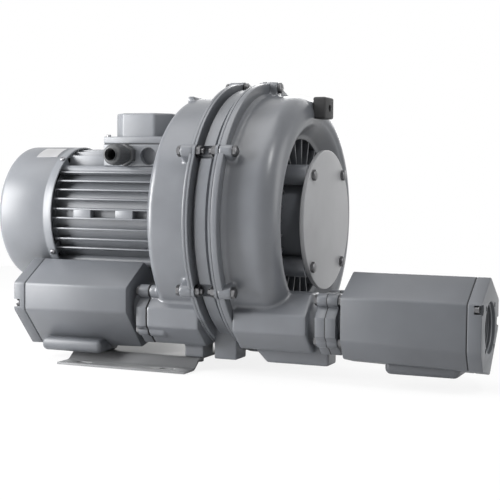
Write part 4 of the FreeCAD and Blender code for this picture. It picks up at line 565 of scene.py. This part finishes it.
def port_lugs(x0, x1):
    places = [on_circle(port_circle, angle, port_y, port_z) for angle in quarter_angles]
    return [rod("port_lug", x0, x1, 0.009, y, z, 32) for y, z in places]


def port_rod(name, x0, x1, radius, sides=64):
    return rod(name, x0, x1, radius, port_y, port_z, sides)


def cast(name, pieces, voxel):
    casting = joined(name, pieces)
    modify(casting, "REMESH", mode="VOXEL", voxel_size=voxel)
    modify(casting, "SMOOTH", factor=0.5, iterations=4)
    return casting


rear_chamber = [
    (0.058, 0.0), (0.058, 0.158), (0.0885, 0.158), (0.0885, 0.164), (0.130, 0.164), (0.130, 0.0)]
rear_neck = port_tube("rear_neck", 0.0362, 0.114)
carve(rear_neck, turned("rear_chamber_tool", rear_chamber, 96))
drum_outline = [(0.050, 0.083), (0.050, 0.160)]
drum_outline += round_corner((0.060, 0.160), 0.010, 180.0, 90.0)
drum_outline += [
    (0.1175, 0.170), (0.1175, 0.164), (0.0885, 0.164), (0.0885, 0.158), (0.058, 0.158), (0.058, 0.083)]
rear_parts = [turned("rear_drum", drum_outline), rear_neck]
rear_parts += port_lugs(0.0362, 0.060)
rear_parts += lug_set(0.099, 0.1178)
for y0, y1 in feet:
    foot = bar("rear_foot", (0.075, y0, 0.016), (0.103, y1, 0.066))
    carve(foot, turned("rear_chamber_tool", rear_chamber, 96))
    rear_parts.append(foot)
rear_parts.append(bar("lifting_pad", (0.050, -0.038, shaft_height + 0.150), (0.060, 0.038, 0.379)))
rear_casing = cast("rear_casing_casting", rear_parts, 0.0021)
carve(rear_casing, port_rod("rear_port_bore", 0.030, 0.080, 0.024, 48))
rear_rim = [(0.114, 0.1695)]
rear_rim += round_corner((0.1147, 0.1888), 0.0007, 180.0, 90.0, 2)
rear_rim += round_corner((0.1173, 0.1888), 0.0007, 90.0, 0.0, 2)
rear_rim += [(0.118, 0.1641), (0.116, 0.1641)]
rear_casing = joined("rear_casing_casting", [rear_casing, turned("rear_flange", rear_rim, 144)])
dress(rear_casing, casing_paint, "casing", "casing_paint", "rear_housing")

# Middle casing: cast aluminium ring between the impellers, two thin flanges with
# a broad band between them and pockets in the band for the nuts.
middle_ring = turned("middle_casing_ring", [
    (0.118, 0.0245), (0.118, 0.1888), (0.1187, 0.1895), (0.1213, 0.1895), (0.122, 0.1888), (0.122, 0.173),
    (0.123, 0.172), (0.125, 0.172), (0.126, 0.1785), (0.129, 0.182), (0.144, 0.182), (0.147, 0.1785),
    (0.148, 0.172), (0.150, 0.172), (0.151, 0.173), (0.151, 0.1893), (0.1517, 0.190), (0.1543, 0.190),
    (0.155, 0.1893), (0.155, 0.0245)], 144)
nut_pocket = rod("nut_pocket", 0.122, 0.151, 0.010, 0.0, shaft_height + joint_circle, 32)
carve(middle_ring, joined("nut_pockets", round_shaft(nut_pocket, joint_angles)))
middle_parts = [middle_ring]
for x0, x1 in ((0.118, 0.122), (0.151, 0.155)):
    middle_ear = rod("middle_ear", x0, x1, 0.009, 0.0, shaft_height + joint_circle, 32)
    middle_parts += round_shaft(middle_ear, joint_angles)
for y0, y1 in feet:
    middle_parts.append(bar("middle_foot", (0.120, y0, 0.016), (0.153, y1, 0.060), 0.002, 3))
middle_casing = joined("middle_casing_casting", middle_parts)
dress(middle_casing, casing_paint, "casing", "casing_paint", "middle_housing")

# Front cover: one aluminium casting. A rounded ring holds the front side
# channel, thin ribs in its pocket stiffen the bearing hub, and a long tube
# with its own foot leads to the front port.
front_chamber = [
    (0.150, 0.0), (0.150, 0.164), (0.1845, 0.164), (0.1845, 0.158), (0.210, 0.158), (0.225, 0.148),
    (0.225, 0.137), (0.205, 0.121), (0.1845, 0.121), (0.1845, 0.0)]
hub_circle = 0.088


def port_block(name, x0, x1):
    block = port_tube(name, x0, x1)
    for lug in port_lugs(x0, x1):
        carve(block, lug, "UNION")
    soften(block, 0.0008, angle=40.0)
    return block


ring_outline = [(0.1552, 0.164), (0.1552, 0.177), (0.1635, 0.177), (0.1665, 0.172)]
ring_outline += round_corner((0.2045, 0.1425), 0.0295, 90.0, 0.0, 14)
ring_outline += [(0.2335, 0.1414), (0.2315, 0.1405), (0.231, 0.1395), (0.231, 0.1355), (0.2302, 0.134)]
ring_outline += [
    (0.210, 0.117), (0.210, 0.112), (0.1845, 0.112), (0.1845, 0.121), (0.205, 0.121), (0.225, 0.137),
    (0.225, 0.148), (0.210, 0.158), (0.1845, 0.158), (0.1845, 0.164)]
front_ring = turned("front_ring", ring_outline, 144)
front_tube = port_tube("front_tube", 0.164, 0.268)
carve(front_tube, turned("front_chamber_tool", front_chamber, 96))
front_parts = [front_ring, front_tube, port_rod("front_neck", 0.260, 0.282, 0.029)]
front_parts += lug_set(0.1555, 0.174)
for (y0, y1), x1 in zip(feet, (0.267, 0.232)):
    foot = bar("front_foot", (0.180, y0, 0.016), (x1, y1, 0.066))
    carve(foot, turned("front_chamber_tool", front_chamber, 96))
    facet = bar("facet_tool", (-0.015, -0.2, -0.013), (0.015, 0.2, 0.0))
    tilt = Matrix.Rotation(math.radians(45.0), 4, "Y")
    facet.data.transform(Matrix.Translation((0.189, 0.0, 0.025)) @ tilt)
    carve(foot, facet)
    front_parts.append(foot)
front_parts.append(bar("foot_toe", (0.265, -0.095, 0.016), (0.285, -0.060, 0.045)))
pad_boss = bar("pad_boss", (0.196, -0.018, 0.345), (0.2308, 0.018, 0.371))
carve(pad_boss, turned("front_chamber_tool", front_chamber, 96))
front_parts.append(pad_boss)
front_casting = cast("front_cover_ring", front_parts, 0.0022)
carve(front_casting, port_rod("front_port_bore", 0.196, 0.300, 0.024, 48))
front_rim = [(0.155, 0.1641)]
front_rim += round_corner((0.156, 0.189), 0.001, 180.0, 90.0, 3)
front_rim += round_corner((0.1625, 0.189), 0.001, 90.0, 0.0, 3)
front_rim += [(0.1635, 0.1755), (0.160, 0.170)]
front_flange = turned("front_flange", front_rim, 144)
port_flange = port_block("front_port_flange", 0.280, 0.293)
carve(port_flange, port_rod("front_port_bore", 0.270, 0.300, 0.024, 48))
hub = turned("bearing_hub", [
    (0.1845, 0.032), (0.1845, 0.1125), (0.191, 0.1125), (0.191, 0.079), (0.195, 0.075), (0.2405, 0.075),
    (0.2413, 0.0742), (0.2413, 0.069), (0.200, 0.069), (0.200, 0.045), (0.2413, 0.045), (0.2413, 0.03602),
    (0.214, 0.03602), (0.214, 0.021), (0.204, 0.021), (0.204, 0.026), (0.196, 0.026), (0.196, 0.032)], 120)
hub_rib = bar("pocket_rib", (0.190, -0.0015, shaft_height + 0.074), (0.2095, 0.0015, shaft_height + 0.1125),
              0.0005)
hub_parts = [hub] + spread(hub_rib, [about_shaft(step * 15.0) for step in range(24)])
hub_boss = rod("hub_boss", 0.190, 0.2423, 0.014, 0.0, shaft_height + hub_circle)
soften(hub_boss, 0.0008, angle=40.0)
hub_parts += round_shaft(hub_boss, quarter_angles)
front_cover = joined("front_cover_casting", [front_casting, front_flange, port_flange] + hub_parts)
dress(front_cover, casing_paint, "casing", "casing_paint", "front_cover")

# Casing bolts and nuts: steel bolts with chamfered hexagon heads and plain nuts,
# dark zinc plated. Six clamp the rear casing to the middle casing, and six more
# the middle casing to the front cover.
hexagon_reach = 0.013 / math.sqrt(3.0)


def chamfered_hexagon(name, x0, x1, outline):
    piece = rod(name, x0, x1, hexagon_reach, 0.0, 0.0, 6)
    piece.data.transform(Matrix.Rotation(math.radians(90.0), 4, "X"))
    carve(piece, turned_at_origin("chamfer_tool", outline, 48), "INTERSECT")
    return piece


def hex_bolt(name, head, seat, tip):
    chamfer = 0.0014 if head > seat else -0.0014
    outline = [(seat, 0.0), (seat, hexagon_reach), (head - chamfer, hexagon_reach),
               (head, hexagon_reach - 0.0021), (head, 0.0)]
    bolt = chamfered_hexagon(name, min(head, seat), max(head, seat), outline)
    shank = rod("shank", min(seat, tip), max(seat, tip), 0.004, 0.0, 0.0, 24)
    return joined(name, [bolt, shank])


def hex_nut(name, x0, x1):
    outline = [(x0, 0.0), (x0, hexagon_reach - 0.0012), (x0 + 0.0008, hexagon_reach),
               (x1 - 0.0008, hexagon_reach), (x1, hexagon_reach - 0.0012), (x1, 0.0)]
    nut = chamfered_hexagon(name, x0, x1, outline)
    carve(nut, rod("nut_hole", x0 - 0.001, x1 + 0.001, 0.00405, 0.0, 0.0, 24))
    return nut


def ring_of(name, piece, radius, angles, y=0.0, z=shaft_height):
    places = [(0.0, *on_circle(radius, angle, y, z)) for angle in angles]
    return joined(name, spread(piece, [Matrix.Translation(place) for place in places]))


dark_zinc = bare_metal("dark_zinc_steel", (0.07, 0.07, 0.074), (0.19, 0.19, 0.195), 0.33, 160.0)
rear_bolt = hex_bolt("joint_bolt", 0.0937, 0.099, 0.132)
rear_bolts = ring_of("rear_joint_bolts", rear_bolt, joint_circle, joint_angles)
dress(rear_bolts, dark_zinc, "casing", "zinc_steel", "rear_stage_bolts")
front_bolt = hex_bolt("joint_bolt", 0.1793, 0.174, 0.140)
front_bolts = ring_of("front_joint_bolts", front_bolt, joint_circle, joint_angles)
dress(front_bolts, dark_zinc, "casing", "zinc_steel", "front_stage_bolts")
rear_nut = hex_nut("joint_nut", 0.122, 0.1285)
rear_nuts = ring_of("rear_joint_nuts", rear_nut, joint_circle, joint_angles)
dress(rear_nuts, dark_zinc, "casing", "zinc_steel", "rear_stage_nuts")
front_nut = hex_nut("joint_nut", 0.1445, 0.151)
front_nuts = ring_of("front_joint_nuts", front_nut, joint_circle, joint_angles)
dress(front_nuts, dark_zinc, "casing", "zinc_steel", "front_stage_nuts")

# Hub cover: a plain turned aluminium disc over the front bearing, painted,
# held by four hexagon bolts, with a thin gasket behind it.
disc_paint = grey_paint("hub_disc_paint", (0.30, 0.303, 0.313), 0.38)
disc_outline = [(0.2423, 0.0), (0.2423, 0.0962), (0.2431, 0.097)]
disc_outline += round_corner((0.2472, 0.0955), 0.0015, 90.0, 0.0, 4)
disc_outline += [(0.2487, 0.0)]
hub_disc = turned("hub_cover_disc", disc_outline, 144)
spigot = turned_ring("hub_spigot", 0.233, 0.243, 0.030, 0.0357, 96)
dress(joined("hub_cover_turning", [hub_disc, spigot]), disc_paint, "casing", "casing_paint", "hub_cover")
hub_bolt = hex_bolt("hub_bolt", 0.254, 0.2487, 0.2253)
hub_bolts = ring_of("hub_cover_bolt_set", hub_bolt, hub_circle, quarter_angles)
dress(hub_bolts, dark_zinc, "casing", "zinc_steel", "hub_cover_bolts")
hub_gasket = turned_ring("hub_gasket_ring", 0.2413, 0.2423, 0.0363, 0.072, 96)
dress(hub_gasket, rubber, "casing", "black_rubber", "hub_cover_gasket")

# Pad on the crest: a block of hard black rubber with a sunk screw, one of the
# points on which the blower can stand upright.
pad = bar("crest_pad_block", (0.231, -0.018, 0.347), (0.250, 0.018, 0.377), 0.003, 3)
carve(pad, rod("screw_sink", 0.238, 0.252, 0.005, 0.0, 0.362, 32))
dress(pad, rubber, "casing", "black_rubber", "front_pad")
pad_screw = rod("crest_pad_screw", 0.238, 0.2415, 0.004, 0.0, 0.362, 32)
dress(pad_screw, zinc, "casing", "zinc_steel", "front_pad_screw")

# Silencers: two cast cans with seven flat sides, the same part at both ends. A
# cap with a two-inch threaded mouth is held by two sunk screws; inside are a
# tube and sound foam.
silencer_paint = grey_paint("silencer_grey_paint", (0.100, 0.106, 0.117), 0.42)
thread_radius = 0.02985
cap_screw_places = ((-0.049, 0.027), (0.049, 0.003))
rear_end = Matrix.Translation((0.011, port_y, port_z)) @ Matrix.Rotation(math.pi, 4, "Z")
front_end = Matrix.Translation((0.318, port_y, port_z))


def can_section(x, inset=0.0):
    drop = 0.005 * x / 0.180
    corners = [
        (-0.0535, 0.034), (0.0, 0.064), (0.0535, 0.032), (0.0535, -0.002 - drop), (0.005, -0.0555 - drop),
        (-0.040, -0.046 - drop), (-0.0535, -0.022 - drop)]
    moved = []
    for index, corner in enumerate(corners):
        here = Vector(corner)
        into = (here - Vector(corners[index - 1])).normalized()
        away = (Vector(corners[(index + 1) % 7]) - here).normalized()
        first = Vector((into.y, -into.x))
        second = Vector((away.y, -away.x))
        here += (first + second) * (inset / (1.0 + first.dot(second)))
        moved.append((here.x, here.y))
    return moved


def can_block(name, x0, x1, inset=0.0, edge=0.0):
    block = round_bar(name, (0.0, 0.0, 0.0), 0.05, 1.0, along_shaft, 7)
    ends = {}
    for vertex in block.data.vertices:
        ends.setdefault(vertex.co.x > 0, []).append(vertex)
    for far, vertices in ends.items():
        x = x1 if far else x0
        vertices.sort(key=lambda v: math.atan2(v.co.y, v.co.z))
        corners = sorted(can_section(x, inset), key=lambda c: math.atan2(c[0], c[1]))
        for vertex, (y, z) in zip(vertices, corners):
            vertex.co = (x, y, z)
    pick(block)
    bpy.ops.object.mode_set(mode="EDIT")
    bpy.ops.mesh.select_all(action="SELECT")
    bpy.ops.mesh.normals_make_consistent(inside=False)
    bpy.ops.object.mode_set(mode="OBJECT")
    if edge:
        bevel_edges(block, lambda first, last: abs(first.x - last.x) > 0.001, offset=edge, segments=4)
    return block


can = can_block("silencer_can", 0.0, 0.161, 0.0, 0.003)
soften(can, 0.0012)
carve(can, can_block("can_hollow", 0.006, 0.170, 0.005))
carve(can, rod("nipple_hole", -0.01, 0.02, thread_radius, 0.0, 0.0, 64))
collar = rod("can_collar", 0.004, 0.022, 0.036, 0.0, 0.0, 64)
carve(collar, rod("nipple_hole", -0.01, 0.03, thread_radius, 0.0, 0.0, 64))
foot_pad = bar("can_foot", (0.050, -0.024, -0.065), (0.147, 0.035, -0.046), 0.008, 5)
carve(foot_pad, can_block("can_hollow", 0.006, 0.170, 0.002))
can = joined("silencer_can", [can, collar, foot_pad])
rear_can, front_can = spread(can, (rear_end, front_end))
dress(rear_can, silencer_paint, "casing", "silencer_paint", "rear_silencer_body")
dress(front_can, silencer_paint, "casing", "silencer_paint", "front_silencer_body")

cap = can_block("silencer_cap_block", 0.162, 0.180, 0.0, 0.003)
soften(cap, 0.0016, 3)
mouth_outline = [(0.150, 0.0), (0.150, thread_radius)]
for groove in range(6):
    groove_x = 0.1605 + groove * 0.0023
    mouth_outline += [(groove_x, 0.0306), (groove_x + 0.00115, thread_radius)]
mouth_outline += [
    (0.1752, thread_radius), (0.176, 0.031), (0.176, 0.033), (0.1795, 0.033), (0.1805, 0.0345),
    (0.1805, 0.0)]
carve(cap, turned_at_origin("mouth_tool", mouth_outline, 96))
for angle in quarter_angles:
    y, z = on_circle(port_circle, angle, 0.0, 0.0)
    carve(cap, rod("flange_hole", 0.168, 0.190, 0.0034, y, z, 24))
for y, z in cap_screw_places:
    carve(cap, rod("screw_pocket", 0.170, 0.190, 0.007, y, z, 32))
    carve(cap, rod("screw_hole", 0.150, 0.175, 0.0034, y, z, 24))
rear_cap, front_cap = spread(cap, (rear_end, front_end))
dress(rear_cap, silencer_paint, "casing", "silencer_paint", "rear_silencer_cap")
dress(front_cap, silencer_paint, "casing", "silencer_paint", "front_silencer_cap")

cap_screws = []
for y, z in cap_screw_places:
    head = rod("cap_screw", 0.170, 0.176, 0.005, y, z, 32)
    soften(head, 0.0006)
    carve(head, rod("key_socket", 0.173, 0.178, 0.0027, y, z, 6))
    cap_screws += [head, rod("cap_screw_shank", 0.142, 0.170, 0.003, y, z, 20)]
screw_pair = joined("cap_screw_pair", cap_screws)
screw_set = joined("cap_screw_set", spread(screw_pair, (rear_end, front_end)))
dress(screw_set, dark_zinc, "casing", "zinc_steel", "silencer_cap_screws")
cap_gasket = can_block("cap_gasket", 0.161, 0.162, 0.001)
carve(cap_gasket, can_block("gasket_hole", 0.150, 0.170, 0.008))
gasket_set = joined("cap_gasket_set", spread(cap_gasket, (rear_end, front_end)))
dress(gasket_set, rubber, "casing", "black_rubber", "silencer_cap_gaskets")

# Port adaptors: a cast flange of the same outline as the port, with a threaded
# nipple for the silencer, a gasket and four bolts.
def adaptor_piece(name, x0, x1, nipple0, nipple1):
    piece = port_block(name, x0, x1)
    carve(piece, port_rod("nipple_hole", x0 - 0.01, x1 + 0.01, 0.0297))
    nipple = port_rod("nipple", nipple0, nipple1, 0.0298)
    carve(nipple, port_rod("nipple_bore", nipple0 - 0.01, nipple1 + 0.01, 0.025))
    return joined(name, [piece, nipple])


def ring_of_port(name, piece):
    return ring_of(name, piece, port_circle, quarter_angles, port_y, port_z)


front_adaptor = adaptor_piece("front_adaptor_casting", 0.294, 0.308, 0.2941, 0.336)
dress(front_adaptor, silencer_paint, "casing", "silencer_paint", "front_port_adaptor")
rear_adaptor = adaptor_piece("rear_adaptor_casting", 0.021, 0.035, -0.007, 0.0349)
dress(rear_adaptor, silencer_paint, "casing", "silencer_paint", "rear_port_adaptor")
front_port_set = ring_of_port("front_port_bolt_set", hex_bolt("port_bolt", 0.2747, 0.280, 0.3155))
dress(front_port_set, dark_zinc, "casing", "zinc_steel", "front_port_bolts")
front_port_nut_set = ring_of_port("front_port_nut_set", hex_nut("port_nut", 0.308, 0.3145))
dress(front_port_nut_set, dark_zinc, "casing", "zinc_steel", "front_port_nuts")
rear_port_set = ring_of_port("rear_port_bolt_set", hex_bolt("port_bolt", 0.0157, 0.021, 0.051))
dress(rear_port_set, dark_zinc, "casing", "zinc_steel", "rear_port_bolts")

# Base plate: 3 mm sheet steel bent to a flat hat section, mid grey paint, with
# two slots in each flange.
base_paint = grey_paint("base_grey_paint", (0.17, 0.173, 0.178), 0.4)
base_half = 0.145
slot_half = 0.0065
slot_radius = 0.0055
bends = [(-base_half, 0.0015), (-0.1127, 0.0015), (-0.0943, 0.0145), (0.0943, 0.0145), (0.1127, 0.0015),
         (base_half, 0.0015)]

base = drawn_line("base_plate_sheet", [(-0.100, y, z) for y, z in bends])
bpy.ops.mesh.select_all(action="SELECT")
bpy.ops.mesh.extrude_region_move(TRANSFORM_OT_translate={"value": (0.198, 0.0, 0.0)})
bpy.ops.mesh.select_all(action="SELECT")
bpy.ops.mesh.normals_make_consistent(inside=False)
bpy.ops.object.mode_set(mode="OBJECT")
bevel_edges(base, lambda first, last: abs(first.x - last.x) > 0.001 and abs(first.y) < base_half - 0.005,
            offset=0.004, segments=4)
modify(base, "SOLIDIFY", thickness=0.0029, offset=0.0, use_even_offset=True)
for x in (-0.065, 0.065):
    for y in (-0.1285, 0.1285):
        for end in (x - slot_half, x + slot_half):
            carve(base, round_bar("slot_end", (end, y, 0.0), slot_radius, 0.02, upright, 32))
        carve(base, bar("slot_middle", (x - slot_half, y - slot_radius, -0.01),
                        (x + slot_half, y + slot_radius, 0.01)))
soften(base, 0.0004)
dress(base, base_paint, "casing", "base_paint", "base_plate")

# Bolts of the base plate: three hexagon bolts of zinc plated steel, put in from
# below and screwed up into the feet of the casing and of the rear silencer.
bolt_places = ((0.089, -0.078), (0.089, 0.078), (-0.080, -0.086))
point_up = Matrix.Rotation(math.radians(-90.0), 4, "Y")
base_bolt = hex_bolt("base_bolt", 0.0077, 0.013, 0.030)
base_bolts = spread(base_bolt, [Matrix.Translation((x, y, 0.0)) @ point_up for x, y in bolt_places])
dress(joined("base_bolt_set", base_bolts), dark_zinc, "casing", "zinc_steel", "base_plate_bolts")

# Blank plate: a thin plate of bare metal without any marks, curved to the fan
# cowl and fixed on its upper side, towards the camera.
plate_bend = 0.1002
bare_plate = bare_metal("bare_plate_metal", (0.44, 0.44, 0.45), (0.54, 0.54, 0.55), 0.35, 60.0)
plate = bar("blank_plate", (-0.191, -0.016, shaft_height + 0.0995), (-0.156, 0.016, shaft_height + 0.1006))
modify(plate, "SUBSURF", subdivision_type="SIMPLE", levels=4, render_levels=4)
for vertex in plate.data.vertices:
    vertex.co.z += math.sqrt(plate_bend ** 2 - vertex.co.y ** 2) - plate_bend
plate.data.transform(about_shaft(23.0))
dress(plate, bare_plate, "casing", "bright_steel")

# Hidden and inner pieces keep the shape of the model: impellers and fins of
# plain cast aluminium, turned shaft and bearings, stacked cores and windings.
raw_aluminium = bare_metal("raw_cast_aluminium", (0.42, 0.42, 0.43), (0.6, 0.6, 0.61), 0.5, 90.0)
machined_steel = bare_metal("machined_steel", (0.32, 0.32, 0.33), (0.5, 0.5, 0.5), 0.28, 120.0)
sheet_core = bare_metal("stacked_core_steel", (0.08, 0.08, 0.085), (0.16, 0.16, 0.165), 0.5, 300.0)
copper = bare_metal("lacquered_copper", (0.25, 0.07, 0.02), (0.48, 0.17, 0.06), 0.42, 240.0)
brass = bare_metal("plain_brass", (0.4, 0.26, 0.08), (0.58, 0.4, 0.14), 0.35, 120.0)
black_plastic = grey_paint("black_moulded_plastic", (0.02, 0.02, 0.021), 0.45, 2200.0, 0.00001)
sound_foam = grey_paint("dark_sound_foam", (0.03, 0.03, 0.031), 0.9, 500.0, 0.0006)
finishes = {
    raw_aluminium: ("rear_impeller", "front_impeller", "rotor_end_rings"),
    machined_steel: (
        "impeller_keys", "impeller_spacer", "impeller_locknut", "rotor_shaft", "rear_bearing_outer",
        "front_bearing_outer", "rear_bearing_inner", "front_bearing_inner", "fan_clip", "silencer_tubes"),
    sheet_core: ("rotor_core", "stator_core"),
    copper: ("stator_winding",),
    brass: ("terminal_studs",),
    zinc: ("tie_rods",),
    black_plastic: ("cooling_fan", "terminal_block"),
    sound_foam: ("silencer_foam",),
    rubber: ("shaft_seals", "port_gaskets"),
}
for finish, names in finishes.items():
    for name in names:
        paint_over(node[name], finish)
